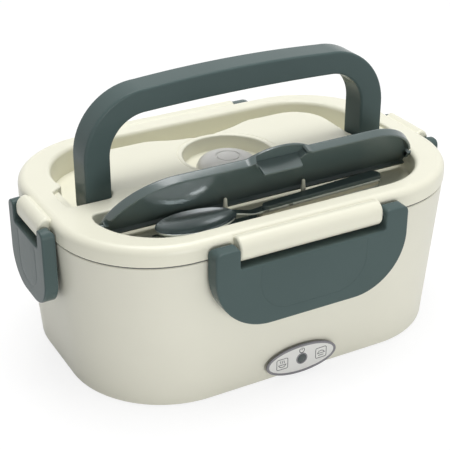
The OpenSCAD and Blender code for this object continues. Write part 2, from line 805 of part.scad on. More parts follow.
module cover_shut() {
    front_y = -open_y + cover_gap;
    tab_r = (pow(18, 2) + pow(tab_out, 2)) / (2 * tab_out);
    difference() {
        union() {
            translate([0, 0, cover_z - cover_t]) linear_extrude(cover_t) {
                front_plan(cover_rear, cover_gap);
                intersection() {
                    translate([0, front_y - tab_out + tab_r]) circle(r = tab_r);
                    translate([-20, front_y - tab_out - 1]) square([40, tab_out + 3]);
                }
            }
            // wall along the curved edge, stopping short of the hinge
            translate([0, 0, cover_z - cover_wall_h]) linear_extrude(cover_wall_h - cover_t + eps) difference() {
                front_plan(axis_y - 6, cover_gap);
                front_plan(axis_y, cover_gap + cover_edge);
                translate([-tongue_x - 1, front_y - 1]) square([2 * tongue_x + 2, 10]);
            }
            // lugs that carry the hinge stubs
            for (s = [-1, 1]) translate([s * (stub_x - 1.95) - 1.05, axis_y - 2, axis_z - stub_r])
                cube([2.1, 4, cover_z - cover_t - axis_z + stub_r + eps]);
            // finger notch: the wall steps back behind the tab
            for (s = [-1, 1]) translate([s * (tongue_x + 1.8) - 0.8, front_y + 0.3, cover_z - cover_wall_h])
                cube([1.6, 4.2, cover_wall_h - cover_t + eps]);
            translate([-tongue_x - 1.5, front_y + 3.2, cover_z - tongue_h])
                cube([2 * tongue_x + 3, cover_edge, tongue_h - cover_t + eps]);
            // lip along the hinge edge
            translate([0, 0, cover_z - cover_lip_h]) linear_extrude(cover_lip_h - cover_t + eps) difference() {
                front_plan(cover_rear, cover_gap);
                front_plan(cover_rear - cover_edge, -1);
            }
        }
    }
    for (s = [-1, 1]) rod_x(stub_r, s > 0 ? stub_x - 3 : -stub_x - 1.9, s > 0 ? stub_x + 1.9 : -stub_x + 3,
                            axis_y, axis_z);
}

module cutlery_cover() {
    color(slate) translate([0, axis_y, axis_z]) rotate([-cover_open, 0, 0])
        translate([0, -axis_y, -axis_z]) cover_shut();
}

// ---- Cutlery ----

// Handle outline from a narrow neck to a round, broader end, running slightly skewed
function handle_outline(x0, x1, w0, w1) = [
    [x0, -42 - w0], [x1 - 7, -37.6 - w1], [x1 - 2.2, -37.3 - w1 + 1.3], [x1, -37.1 - w1 + 3.4],
    [x1, -37.1 + w1 - 3.4], [x1 - 2.2, -37.3 + w1 - 1.3], [x1 - 7, -37.6 + w1], [x0, -42 + w0]];

module bowl_shell() {
    difference() {
        translate([bowl_x, bowl_y, bowl_rim]) scale([bowl_a, bowl_b, bowl_d]) sphere(r = 1, $fn = 48);
        translate([bowl_x, bowl_y, bowl_rim + 0.01]) scale([bowl_a - 0.9, bowl_b - 0.9, bowl_d - 0.9])
            sphere(r = 1, $fn = 48);
        translate([bowl_x - 30, bowl_y - 20, bowl_rim]) cube([60, 40, 20]);
    }
}

module spoon() {
    color(steel) {
        bowl_shell();
        translate([0, 0, spoon_z]) linear_extrude(strip_t) polygon(handle_outline(spoon_neck, cutlery_end, neck_half, end_half));
        hull() {
            translate([bowl_x + bowl_a - 0.5, bowl_y - 3, bowl_rim - 1.2]) cube([1, 6, 1.2]);
            translate([-9, -44.4, spoon_z]) cube([1, 5.2, strip_t]);
        }
    }
}

module spoon_grip() {
    color(slate) translate([0, 0, spoon_z + strip_t]) linear_extrude(grip_t - 0.2)
        polygon(handle_outline(spoon_neck + 4, cutlery_end - 0.4, neck_half + grip_side, end_half - 0.2));
}

module fork() {
    head_x = fork_neck - head_l;
    color(steel) translate([0, 0, fork_z]) linear_extrude(strip_t) {
        polygon(handle_outline(fork_neck, cutlery_end, neck_half, end_half));
        polygon([[head_x, -48.6], [-30, -47.4], [-22, -44.4], [-14, -44.4], [-14, -39.2], [-22, -39],
                 [-30, -35.6], [head_x, -34.4]]);
        for (i = [0:3]) translate([head_x, -47.4 + tine_pitch * i])
            polygon([[1, -tine_w / 2], [1, tine_w / 2], [-tine_l, 0.5], [-tine_l, -0.5]]);
    }
}

module fork_grip() {
    color("#C9C3AE") translate([0, 0, fork_z + strip_t]) linear_extrude(grip_t)
        polygon(handle_outline(fork_neck + grip_neck, cutlery_end - 0.4, neck_half + grip_side, end_half - 0.2));
}

// ---- Handle ----

// Half outline of the handle from the crown of its grip round one corner, in (x, z)
function arch(half, top, r, rise, n = 12) = concat(
    [for (i = [0:6]) let (x = (half - r) * i / 6) [x, top - rise * pow(x / (half - r), 2) ]],
    [for (i = [1:n]) let (a = 90 - 90 * i / n) [half - r + r * cos(a), top - rise - r + r * sin(a)]]);

function mirrored(p) = concat([for (i = [len(p) - 1:-1:1]) [-p[i][0], p[i][1]]], p);

module carry_handle() {
    color(slate) {
        difference() {
            union() {
                upright(pivot_y - handle_t / 2, pivot_y + handle_t / 2) difference() {
                    polygon(concat([[-leg_out, pivot_z]], mirrored(arch(leg_out, handle_z, handle_r, crown)),
                                   [[leg_out, pivot_z]]));
                    polygon(concat([[-leg_in, pivot_z - 1]],
                                   mirrored(arch(leg_in, handle_z - grip_h, handle_r - leg_w, crown * 0.6)),
                                   [[leg_in, pivot_z - 1]]));
                }
                for (s = [-1, 1]) rod_x(handle_t / 2, s > 0 ? leg_in : -leg_out, s > 0 ? leg_out : -leg_in,
                                        pivot_y, pivot_z);
            }
            for (s = [-1, 1]) rod_x(hinge_pin_r + snug, s > 0 ? leg_in - 1 : -leg_in - 8,
                                    s > 0 ? leg_in + 8 : -leg_in + 1, pivot_y, pivot_z);
        }
    }
}

module handle_pins() {
    color(steel) for (s = [-1, 1])
        rod_x(hinge_pin_r, s > 0 ? panel_x - 9 : -leg_in - 7.8, s > 0 ? leg_in + 7.8 : -panel_x + 9,
              pivot_y, pivot_z);
}

// ---- Latches ----

module latch_face(top, half, bar_half, corner) {
    difference() {
        union() {
            intersection() {
                union() {
                    translate([-half, latch_z + corner]) square([2 * half, top - arm_r - latch_z - corner]);
                    translate([-half + corner, latch_z]) square([2 * (half - corner), corner + 1]);
                    for (s = [-1, 1]) translate([s * (half - corner), latch_z + corner]) circle(r = corner);
                }
                translate([-half - 1, latch_z - 1]) square([2 * half + 2, top - arm_r - latch_z + 1]);
            }
            for (s = [-1, 1]) translate([s * (half - arm_r), top - arm_r]) circle(r = arm_r);
            translate([-half + arm_r, top - arm_r - 1]) square([2 * (half - arm_r), arm_r + 1]);
        }
        translate([-bar_half - arm_gap, notch_z]) square([2 * (bar_half + arm_gap), 40]);
    }
}

// Shallow groove round the middle of a latch's face
module latch_groove(side, bar_half, corner) {
    out = latch_out(side);
    w = bar_half * 0.75;
    r = min(corner * 0.55, w - groove_w - 0.5);
    upright(out - groove_d, out + 1) intersection() {
        difference() {
            translate([0, notch_z]) plan(w, notch_z - latch_z - 7, r);
            translate([0, notch_z]) plan(w - groove_w, notch_z - latch_z - 7 - groove_w, r - groove_w);
        }
        translate([-w - 1, latch_z]) square([2 * w + 2, notch_z - latch_z + 1]);
    }
}

module latch(side, half, bar_half, corner, bore) {
    out = latch_out(side);
    in = latch_in(side);
    pin = pin_out(side);
    color(slate) on_side(side) difference() {
        union() {
            upright(in, out) latch_face(latch_top(side), half, bar_half, corner);
            translate([-half * 0.4, hook_tip, hook_z]) cube([0.8 * half, in - hook_tip + 0.1, hook_h]);
        }
        // clears the lid's wall as the latch turns
        difference() {
            translate([-half - 1, in - 1, pin_z]) cube([2 * half + 2, pin - in + 1, 20]);
            rod_x(pin - arm_clear, -half - 2, half + 2, pin, pin_z);
        }
        rod_x(latch_pin_r + fit, -bar_half - bore, bar_half + bore, pin, pin_z);
        latch_groove(side, bar_half, corner);
    }
}

module latch_pin(side, bar_half, reach) {
    color(steel) on_side(side) rod_x(latch_pin_r, -bar_half - reach, bar_half + reach, pin_out(side), pin_z);
}

module front_latch() { latch("front", long_latch, long_bar, long_corner, long_bore); }
module rear_latch() { latch("rear", long_latch, long_bar, long_corner, long_bore); }
module left_latch() { latch("left", short_latch, short_bar, short_corner, short_bore); }
module right_latch() { latch("right", short_latch, short_bar, short_corner, short_bore); }

module long_latch_pins() {
    for (side = ["front", "rear"]) latch_pin(side, long_bar, long_bore - gap);
}

module short_latch_pins() {
    for (side = ["left", "right"]) latch_pin(side, short_bar, short_bore - gap);
}

outer_housing();
heating_basin();
base_cover();
base_screws();
rubber_feet();
heating_plate();
ptc_heater();
heater_clamp();
clamp_screws();
thermostat();
thermal_fuse();
power_inlet();
inlet_pins();
lead_wires();
lamp_board();
board_screws();
indicator_led();
light_guide();
badge_panel();
badge_ring();
food_tray();
lid_shell();
lid_inner_plate();
lid_seal();
steam_valve();
cutlery_cover();
spoon();
spoon_grip();
fork();
fork_grip();
carry_handle();
handle_pins();
front_latch();
rear_latch();
left_latch();
right_latch();
long_latch_pins();
short_latch_pins();
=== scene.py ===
import math
import bpy
import bmesh
import numpy as np
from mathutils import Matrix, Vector
from mathutils.geometry import delaunay_2d_cdt


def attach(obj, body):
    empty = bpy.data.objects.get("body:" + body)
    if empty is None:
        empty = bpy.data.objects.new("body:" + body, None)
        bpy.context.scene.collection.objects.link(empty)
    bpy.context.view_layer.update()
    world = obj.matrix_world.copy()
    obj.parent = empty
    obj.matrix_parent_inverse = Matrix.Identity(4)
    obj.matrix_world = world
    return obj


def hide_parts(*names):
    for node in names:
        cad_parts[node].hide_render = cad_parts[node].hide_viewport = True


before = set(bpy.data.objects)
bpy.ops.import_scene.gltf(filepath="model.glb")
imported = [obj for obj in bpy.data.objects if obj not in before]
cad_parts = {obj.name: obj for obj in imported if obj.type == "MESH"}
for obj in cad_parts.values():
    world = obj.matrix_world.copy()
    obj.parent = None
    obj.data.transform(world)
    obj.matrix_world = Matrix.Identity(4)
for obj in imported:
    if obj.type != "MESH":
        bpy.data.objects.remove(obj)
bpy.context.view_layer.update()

toMetres = 0.001   # pieces are worked out in millimetres; camera, finishes, floor and lamps are in metres
print("frame loaded")

cameraSetup = {
    "place": (-0.28449, -0.51132, 0.36290),
    "azimuth": -28.62, "elevation": 27.77,   # degrees: from the front round towards +X, and upwards
    "lens": 95.17, "sensor": 36, "near": 0.01, "far": 20,
}


def addCamera(setup):
    # back, the way from the box to the camera, is (sin az cos el, -cos az cos el, sin el)
    az, el = math.radians(setup["azimuth"]), math.radians(setup["elevation"])
    back = Vector((math.sin(az) * math.cos(el), -math.cos(az) * math.cos(el), math.sin(el)))
    data = bpy.data.cameras.new("mainCamera")
    data.lens = setup["lens"]
    data.sensor_width = setup["sensor"]
    data.clip_start, data.clip_end = setup["near"], setup["far"]
    camera = bpy.data.objects.new("mainCamera", data)
    camera.location = setup["place"]
    camera.rotation_euler = (-back).to_track_quat("-Z", "Y").to_euler()
    bpy.context.scene.collection.objects.link(camera)
    bpy.context.scene.camera = camera


addCamera(cameraSetup)

# values that several pieces share, as in the frame
box = {
    "lidA": 112.4, "lidB": 74.15, "lidR": 53.7,     # half length, half depth and corner of the lid
    "openA": 93.2, "openB": 62.0, "openR": 37.2,    # the same of the opening inside its rim
    "seamZ": 84.2, "rimZ": 83.4,                    # the lid's lower edge, and the housing's rim under it
    "topZ": 94.2, "panelZ": 96.0,                   # the lid's rim and its raised panel
    "recessZ": 80.0, "trenchZ": 79.5,               # floors of the cutlery recess and the handle's trench
    "panZ": 77.2,                                   # the underside of both
    "webFront": -21.8, "webRear": -9.5,             # the bridge between the two
    "badgeY": 73.97, "badgeZ": 10.0,                # the badge's seat and middle
}


def smoothStep(t):
    # 3t^2 - 2t^3 with t held between 0 and 1
    t = np.clip(t, 0, 1)
    return t * t * (3 - 2 * t)


def quarterTurn(steps):
    # 1 - sin t, which falls from 1 to 0, and 1 - cos t, which rises from 0 to 1, over a quarter turn
    t = np.linspace(0, np.pi / 2, steps)
    return 1 - np.sin(t), 1 - np.cos(t)


def arcOf(centre, radius, start, end, count):
    # centre + radius (cos t, sin t) between two angles in degrees; a pair of radii gives an ellipse
    t = np.radians(np.linspace(start, end, count))
    return np.asarray(centre) + radius * np.stack([np.cos(t), np.sin(t)], 1)


def unitCircle(count):
    # (cos t, sin t) once round
    t = np.linspace(0, 2 * np.pi, count, endpoint=False)
    return np.stack([np.cos(t), np.sin(t)], 1)


def rectangle(half, low, high):
    # four corners, anticlockwise from the lower left
    return np.array([[-half, low], [half, low], [half, high], [-half, high]])


def roundedPlan(a, b, r, arc=22, side=50, front=40):
    # rounded rectangle with half sizes a and b: four straights and four quarter circles, anticlockwise
    # from the lower end of the +X side; a, b and r may be arrays, and then each gives its own ring
    a, b, r = (np.asarray(v, float)[..., None] for v in (a, b, r))
    s, f, t = np.arange(side) / side, np.arange(front) / front, np.arange(arc) / arc * np.pi / 2
    xs = [a * np.ones_like(s), a - r + r * np.cos(t), (a - r) * (1 - 2 * f), -(a - r) - r * np.sin(t),
          -a * np.ones_like(s), -(a - r) - r * np.cos(t), (a - r) * (2 * f - 1), a - r + r * np.sin(t)]
    ys = [(b - r) * (2 * s - 1), b - r + r * np.sin(t), b * np.ones_like(f), b - r + r * np.cos(t),
          (b - r) * (1 - 2 * s), -(b - r) - r * np.sin(t), -b * np.ones_like(f), -(b - r) - r * np.cos(t)]
    return np.stack([np.concatenate(xs, -1), np.concatenate(ys, -1)], -1)


def walk(points, step):
    # a path through given points with even spacing, by its length
    p = np.asarray(points, float)
    gaps = np.linalg.norm(np.diff(p, axis=0), axis=1)
    s = np.concatenate([[0], np.cumsum(gaps)])
    want = np.linspace(0, s[-1], max(2, int(round(s[-1] / step)) + 1))
    return np.stack([np.interp(want, s, p[:, 0]), np.interp(want, s, p[:, 1])], 1)


def walkRound(outline, step):
    # the same round a closed outline, without repeating its first point
    return walk(np.concatenate([outline, outline[:1]]), step)[:-1]


def roundCorners(corners, step=1.2):
    # closed outline through corners (x, y, radius): each corner gives way to the arc that touches both sides
    c = np.asarray(corners, float)
    parts = []
    for i in range(len(c)):
        here, before, after, r = c[i, :2], c[i - 1, :2], c[(i + 1) % len(c), :2], c[i, 2]
        u = (before - here) / np.linalg.norm(before - here)
        v = (after - here) / np.linalg.norm(after - here)
        if r <= 0 or abs(u @ v) > 0.9999:
            parts.append(here[None])
            continue
        half = math.acos(np.clip(u @ v, -1, 1)) / 2
        middle = here + (u + v) / np.linalg.norm(u + v) * r / math.sin(half)
        start = here + u * r / math.tan(half) - middle
        end = here + v * r / math.tan(half) - middle
        a0 = math.atan2(start[1], start[0])
        sweep = (math.atan2(end[1], end[0]) - a0 + math.pi) % (2 * math.pi) - math.pi
        t = a0 + sweep * np.linspace(0, 1, max(6, int(abs(sweep) * r / 0.4)))
        parts.append(middle + r * np.stack([np.cos(t), np.sin(t)], 1))
    return walkRound(np.concatenate(parts), step)


def sideways(path, closed=True):
    # unit normal to the right of the way along a 2-D path: the tangent turned by a quarter
    if closed:
        tangent = np.roll(path, -1, 0) - np.roll(path, 1, 0)
    else:
        tangent = np.gradient(path, axis=0)
    length = np.linalg.norm(tangent, axis=1, keepdims=True)
    length[length < 1e-9] = 1
    tangent = tangent / length
    return np.stack([tangent[:, 1], -tangent[:, 0]], 1)


def outwards(outline):
    # unit normals of a closed outline, away from its middle whichever way round it runs
    out = sideways(outline)
    return out if (out * (outline - outline.mean(0))).sum() > 0 else -out


def shrink(outline, inset):
    # an outline moved inwards along its normals
    return outline - inset * outwards(outline)


def distanceTo(points, path):
    # from each point to the nearest point of a path, in twelve parts to save memory
    parts = np.array_split(points, 12)
    return np.concatenate([np.sqrt(((part[:, None] - path) ** 2).sum(-1)).min(1) for part in parts])


def atHeight(plan, z):
    # a plan as points at one height, or each at its own
    return np.column_stack([plan, np.broadcast_to(z, (len(plan),))])


def lifted(plans, levels):
    # a stack of plans, each ring at its own height
    return np.concatenate([plans, np.broadcast_to(levels[:, None, None], plans.shape[:2] + (1,))], -1)


def loft(rings, loop=False, caps=(True, True)):
    # rings[i, j] joined to rings[i + 1, j + 1] by quads, round each ring and along the rings;
    # each end is closed by one face unless the rings loop
    count, n = rings.shape[:2]
    i, j = np.arange(count if loop else count - 1)[:, None], np.arange(n)[None, :]
    k, m = (i + 1) % count, (j + 1) % n
    faces = np.stack([i * n + j, i * n + m, k * n + m, k * n + j], -1).reshape(-1, 4).tolist()
    if not loop and caps[0]:
        faces.append(list(range(n))[::-1])
    if not loop and caps[1]:
        faces.append(list(range((count - 1) * n, count * n)))
    return rings.reshape(-1, 3), faces


def planRings(sizes, stations, **steps):
    # one ring for each station (plan, inset, height), from that plan's half sizes and corner less the inset
    rings = []
    for plan, inset, z in stations:
        a, b, r = (sizes[plan + letter] - inset for letter in "ABR")
        rings.append(atHeight(roundedPlan(a, b, r, **steps), z))
    return np.array(rings)


def revolve(profile, centre, steps):
    # profile (radius, height) turned round a vertical line; both ends lie on the line
    radius, height = np.array(profile, float).T
    return loft(lifted(np.asarray(centre) + radius[:, None, None] * unitCircle(steps), height))


def slabOf(outline, low, high, lowRound, highRound):
    # a flat outline made thick from low to high, its two edges rounded by moving it inwards along its normals
    falling, rising = quarterTurn(5)
    inset = np.concatenate([lowRound * falling, highRound * rising])
    level = np.concatenate([low + lowRound * rising, high - highRound * falling])
    return loft(lifted(outline - inset[:, None, None] * sideways(outline), level))


def moved(shell, order, signs=(1, 1, 1), shift=(0, 0, 0)):
    # swaps the axes, flips them and shifts the result
    points, faces = shell
    return points[:, list(order)] * np.array(signs) + np.array(shift), faces


def joinShells(shells):
    # several open or closed shells as one list of points and faces
    points, faces, start = [], [], 0
    for shellPoints, shellFaces in shells:
        points.append(shellPoints)
        faces += [[v + start for v in face] for face in shellFaces]
        start += len(shellPoints)
    return np.concatenate(points), faces


def addPiece(name, shells, body, finish, nodes=(), sharp=40):
    # joins shells into one mesh object at the origin, in metres, with its faces turned outwards
    points, faces = joinShells(shells)
    mesh = bpy.data.meshes.new(name)
    mesh.from_pydata((points * toMetres).tolist(), [], faces)
    work = bmesh.new()
    work.from_mesh(mesh)
    bmesh.ops.remove_doubles(work, verts=work.verts, dist=2e-6)
    bmesh.ops.recalc_face_normals(work, faces=work.faces)
    work.to_mesh(mesh)
    work.free()
    mesh.shade_smooth()
    mesh.set_sharp_from_angle(angle=math.radians(sharp))
    piece = bpy.data.objects.new(name, mesh)
    bpy.context.scene.collection.objects.link(piece)
    weigh = piece.modifiers.new("evenNormals", "WEIGHTED_NORMAL")
    weigh.mode = "FACE_AREA"
    weigh.weight = 80
    weigh.keep_sharp = True
    mesh.materials.append(finish)
    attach(piece, body)
    if nodes:
        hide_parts(*nodes)
    return piece


def newFinish(name, colour, rough=0.4, drift=0.03, grain=1400, relief=0.06, coat=0.0, bevel=0.0, metal=0.0,
              stretch=(1, 1, 1), subsurface=0.0, through=0.0, roughDrift=0.06, shine=0.5, bend=1.5):
    # a base colour that drifts a little with broad noise, a roughness that drifts with finer noise,
    # and a fine grain in the normal; bevel rounds the edges of a plain solid in the shading
    finish = bpy.data.materials.new(name)
    finish.use_nodes = True
    nodes, links = finish.node_tree.nodes, finish.node_tree.links
    shader = nodes["Principled BSDF"]
    where = nodes.new("ShaderNodeTexCoord")
    spread = nodes.new("ShaderNodeMapping")
    spread.inputs["Scale"].default_value = stretch
    links.new(where.outputs["Object"], spread.inputs["Vector"])
    broad = nodes.new("ShaderNodeTexNoise")
    broad.inputs["Scale"].default_value = 28
    broad.inputs["Detail"].default_value = 3
    links.new(spread.outputs["Vector"], broad.inputs["Vector"])
    ramp = nodes.new("ShaderNodeValToRGB")
    low, high = ramp.color_ramp.elements
    low.position, high.position = 0.3, 0.7
    low.color = tuple(c * (1 - drift) for c in colour) + (1,)
    high.color = tuple(min(1, c * (1 + drift)) for c in colour) + (1,)
    links.new(broad.outputs["Fac"], ramp.inputs["Fac"])
    links.new(ramp.outputs["Color"], shader.inputs["Base Color"])
    fine = nodes.new("ShaderNodeTexNoise")
    fine.inputs["Scale"].default_value = grain
    fine.inputs["Detail"].default_value = 4
    links.new(spread.outputs["Vector"], fine.inputs["Vector"])
    level = nodes.new("ShaderNodeMapRange")
    level.inputs["To Min"].default_value = max(0.02, rough - roughDrift)
    level.inputs["To Max"].default_value = rough + roughDrift
    links.new(fine.outputs["Fac"], level.inputs["Value"])
    links.new(level.outputs["Result"], shader.inputs["Roughness"])
    bump = nodes.new("ShaderNodeBump")
    bump.inputs["Strength"].default_value = relief
    bump.inputs["Distance"].default_value = 0.0002
    links.new(fine.outputs["Fac"], bump.inputs["Height"])
    if bevel:
        rounding = nodes.new("ShaderNodeBevel")
        rounding.samples = 6
        rounding.inputs["Radius"].default_value = bevel
        links.new(rounding.outputs["Normal"], bump.inputs["Normal"])
    links.new(bump.outputs["Normal"], shader.inputs["Normal"])
    shader.inputs["Metallic"].default_value = metal
    shader.inputs["Coat Weight"].default_value = coat
    shader.inputs["Coat Roughness"].default_value = 0.12
    shader.inputs["Specular IOR Level"].default_value = shine
    shader.inputs["IOR"].default_value = bend
    if subsurface:
        shader.inputs["Subsurface Weight"].default_value = subsurface
        shader.inputs["Subsurface Radius"].default_value = (0.004, 0.004, 0.004)
        shader.inputs["Subsurface Scale"].default_value = 1.0
    if through:
        shader.inputs["Transmission Weight"].default_value = through
    return finish


cream = (0.80, 0.785, 0.65)
creamShade = (0.74, 0.725, 0.60)
slate = (0.079, 0.113, 0.110)
finishes = {
    "lid": newFinish("creamLid", cream, rough=0.34, drift=0.012, relief=0.02, shine=0.35),
    # the housing takes the lid's cream plastic a little darker and greyer, as painted shade on its upright
    # walls
    "housing": newFinish("creamHousingShaded", (0.755, 0.74, 0.63), rough=0.4, drift=0.012, relief=0.03, shine=0.3),
    "inner": newFinish("creamInner", creamShade, rough=0.5, bevel=0.0005),
    "base": newFinish("creamBase", (0.70, 0.68, 0.58), rough=0.6, relief=0.2, bevel=0.0004),
    "slate": newFinish("slateSatin", slate, rough=0.2, drift=0.03, relief=0.012, shine=0.13, bend=1.4),
    "slateGloss": newFinish("slateGloss", (0.080, 0.110, 0.106), rough=0.24, drift=0.03, coat=0.25),
    "slateGrip": newFinish("slateGrip", slate, rough=0.38, bevel=0.0003),
    "beige": newFinish("beigeGrip", (0.62, 0.58, 0.47), rough=0.4, bevel=0.0003),
    "seal": newFinish("sealSilicone", (0.10, 0.105, 0.105), rough=0.6, bevel=0.0003),
    "valve": newFinish("valveSilicone", (0.60, 0.595, 0.565), rough=0.3, subsurface=0.35, through=0.12),
    "rubber": newFinish("feetRubber", (0.05, 0.055, 0.053), rough=0.75, relief=0.25, bevel=0.0003),
    "black": newFinish("inletBlack", (0.028, 0.03, 0.03), rough=0.45, bevel=0.0003),
    # polished steel for spoon and fork, its colour leaning to teal as a painted reflection of the slate cover
    # above
    "steelTealReflection": newFinish("polishedSteelTealReflection", (0.60, 0.64, 0.65), rough=0.14, relief=0.01, roughDrift=0.03,
                             metal=1, bevel=0.0002),
    "screw": newFinish("screwSteel", (0.55, 0.55, 0.56), rough=0.3, metal=1, bevel=0.0002, relief=0.03),
    "aluminium": newFinish("rolledAluminium", (0.68, 0.68, 0.69), rough=0.38, metal=1, bevel=0.0003,
                           stretch=(1, 14, 1), grain=260),
    "heater": newFinish("heaterBody", (0.5, 0.5, 0.51), rough=0.5, metal=1, bevel=0.0003),
    "phenolic": newFinish("phenolic", (0.20, 0.15, 0.10), rough=0.6, bevel=0.0003),
    "wire": newFinish("wireSheath", (0.42, 0.06, 0.045), rough=0.45),
    "board": newFinish("boardGreen", (0.03, 0.13, 0.06), rough=0.4, bevel=0.0002),
    "ceramic": newFinish("fuseCeramic", (0.7, 0.68, 0.62), rough=0.5),
    "panel": newFinish("badgePanel", (0.76, 0.755, 0.725), rough=0.3, drift=0.01, relief=0.02),
    "ring": newFinish("badgeRing", (0.215, 0.21, 0.225), rough=0.3, drift=0.02),
    "sign": newFinish("signPrint", (0.12, 0.125, 0.125), rough=0.5, drift=0.02),
    "lamp": newFinish("lampWindow", (0.03, 0.045, 0.043), rough=0.12, roughDrift=0.03, coat=0.6, relief=0.01),
    "tray": newFinish("brushedSteel", (0.62, 0.62, 0.63), rough=0.28, metal=1, stretch=(1, 22, 22), grain=220,
                      relief=0.05),
}
print("finishes made")

# the two kinds of latch, each with the hinge bar it hangs on and the catch rib it hooks under;
# distances outwards are from the lid's face, and ribOut is from the middle of the box
longLatch = {
    "half": 55.5, "corner": 31.0, "top": 91.2, "reach": 9.35, "thick": 9.0, "edge": 0.9, "pinOut": 4.85,
    "groove": 30.8, "grooveDepth": 0.4,
    "barHalf": 41.2, "barReach": 7.35,
    "ribHalf": 22.2, "ribOut": 73.65,
}
shortLatch = {
    "half": 24.0, "corner": 18.0, "top": 90.8, "reach": 7.6, "thick": 7.2, "edge": 0.9, "pinOut": 4.1,
    "groove": 12.0, "grooveDepth": 0.2,
    "barHalf": 15.7, "barReach": 6.3,
    "ribHalf": 12.0, "ribOut": 111.9,
}
latchSides = (("front", longLatch), ("rear", longLatch), ("left", shortLatch), ("right", shortLatch))

housing = {
    "halfLength": 112.0, "halfDepth": 73.75, "corner": 53.3,    # at the rim
    "endDraft": 6.0, "sideDraft": 2.7,                          # how far ends and sides lean in at the bottom
    "wall": 2.6, "bottomZ": 0.6, "bottomRound": 1.4,
    "outerLevels": (12, 30, 50, 70, 82.6), "innerLevels": (83.05, 40, 3.2),
    "rimRound": ((0.2, 83.15), (0.7, 83.4)),                    # inset and height of the rim's outer edge
    "bossA": 24.2, "bossB": 9.7, "bossRound": 1.2, "bossDeep": 4.5,
    "seatInset": 2.75, "seatDeep": 0.65,                        # the badge's seat
    "seatShare": 0.42,                                          # the inset's share in height
    "ribLow": 54.2, "ribHigh": 56.6, "ribDeep": 2.2, "ribEdge": 0.3,
    "inletLow": (-11.3, 60, 4.9), "inletHigh": (11.3, 80, 18.5),  # two corners of the mains inlet's hole
}


def housingWall(h):
    # a wall profile (inset, height) carried round the plan, which leans in by the draft times the share of
    # height left below the rim
    falling, rising = quarterTurn(8)
    profile = [(h["wall"] + 0.4, h["bottomZ"])]
    profile += zip(h["bottomRound"] * falling, h["bottomZ"] + h["bottomRound"] * rising)
    profile += [(0, z) for z in h["outerLevels"]]
    profile += h["rimRound"]
    inside = (h["wall"] - 0.35, h["wall"], h["wall"], h["wall"] + 0.4)
    profile += zip(inside, (box["rimZ"],) + h["innerLevels"])
    inset, height = np.array(profile).T
    left = 1 - height / box["rimZ"]
    a = h["halfLength"] - h["endDraft"] * left - inset
    b = h["halfDepth"] - h["sideDraft"] * left - inset
    plans = roundedPlan(a, b, h["corner"] - inset, arc=32, side=10, front=30)
    return loft(lifted(plans, height), loop=True)


def badgeRings(a, b, out):
    # ovals about the badge's middle with half sizes a and b, each standing out of its seat's plane by out
    c, s = unitCircle(120).T
    y = np.broadcast_to(-box["badgeY"] - out[:, None], (len(out), len(c)))
    return np.stack([a[:, None] * c, y, box["badgeZ"] + b[:, None] * s], -1)


def badgeBoss(h):
    # ovals from inside the wall, over a round edge and in to the badge's sunk seat
    falling, rising = quarterTurn(7)
    inset = np.concatenate([[0], h["bossRound"] * rising, [h["seatInset"]] * 2])
    out = np.concatenate([[-h["bossDeep"]], -h["bossRound"] * falling, [0, -h["seatDeep"]]])
    return loft(badgeRings(h["bossA"] - inset, h["bossB"] - inset * h["seatShare"], out))


def catchRibs(h):
    # a flat rib under each latch's hook: a rectangle in (along, height) made thick outwards
    ribs = []
    for kind, order in ((longLatch, (0, 1, 2)), (shortLatch, (1, 0, 2))):
        for face in (1, -1):
            outline = rectangle(kind["ribHalf"], h["ribLow"], h["ribHigh"])
            rib = slabOf(outline, kind["ribOut"] - h["ribDeep"], kind["ribOut"], 0.0, h["ribEdge"])
            ribs.append(moved(moved(rib, (0, 2, 1), (1, face, 1)), order))
    return ribs


def cutHole(piece, low, high):
    # takes a box between two corners out of a piece
    cutter = bpy.data.objects.new("cutter", bpy.data.meshes.new("cutter"))
    bpy.context.scene.collection.objects.link(cutter)
    corners = [(x, y, z) for x in (low[0], high[0]) for y in (low[1], high[1]) for z in (low[2], high[2])]
    faces = [(0, 1, 3, 2), (4, 6, 7, 5), (0, 4, 5, 1), (2, 3, 7, 6), (0, 2, 6, 4), (1, 5, 7, 3)]
    cutter.data.from_pydata((np.array(corners) * toMetres).tolist(), [], faces)
    cut = piece.modifiers.new("cut", "BOOLEAN")
    cut.operation, cut.object, cut.solver = "DIFFERENCE", cutter, "EXACT"
    piece.modifiers.move(len(piece.modifiers) - 1, 0)
    bpy.context.view_layer.update()
    solid = bpy.data.meshes.new_from_object(piece.evaluated_get(bpy.context.evaluated_depsgraph_get()))
    piece.modifiers.remove(cut)
    piece.data = solid
    bpy.data.objects.remove(cutter)


housingShells = [housingWall(housing), badgeBoss(housing)] + catchRibs(housing)
outerHousing = addPiece("outerHousing", housingShells, "housing", finishes["housing"], ["outer_housing"],
                        sharp=50)
cutHole(outerHousing, housing["inletLow"], housing["inletHigh"])
print("housing made")

badge = {
    "halfLength": 21.3, "halfHeight": 8.6, "dome": 0.18,        # the oval and its crown
    "ringWidth": 1.5, "ringRise": 0.4,
    "under": 0.6, "lap": 0.1,                                   # how deep they reach and how far they lap
    "lampR": 2.75, "bezel": 0.75, "bezelLow": 0.16, "bezelRise": 0.22,
    "lensR": 2.66, "lensLow": 0.12, "lensRise": 0.35, "lampUnder": 0.3,
}
signs = {
    "line": 0.5, "fineLine": 0.4, "waveLine": 0.35,             # widths of the printed lines
    "away": 11.9, "frameA": 3.3, "frameB": 3.1, "frameR": 0.8,  # the two framed signs beside the lamp
    "powerR": 1.45, "powerUp": 5.0, "powerTop": 6.7,            # the ring and bar above it
    "archA": 2.0, "archB": 1.5, "plateHalf": 2.4, "dishUp": -0.4, "bowlUp": -0.3,
    "footUp": -1.6, "footShare": 0.7,
    "waveGap": 1.1, "waveSwing": 0.2, "waveUp": 0.5, "waveHigh": 1.7,
}


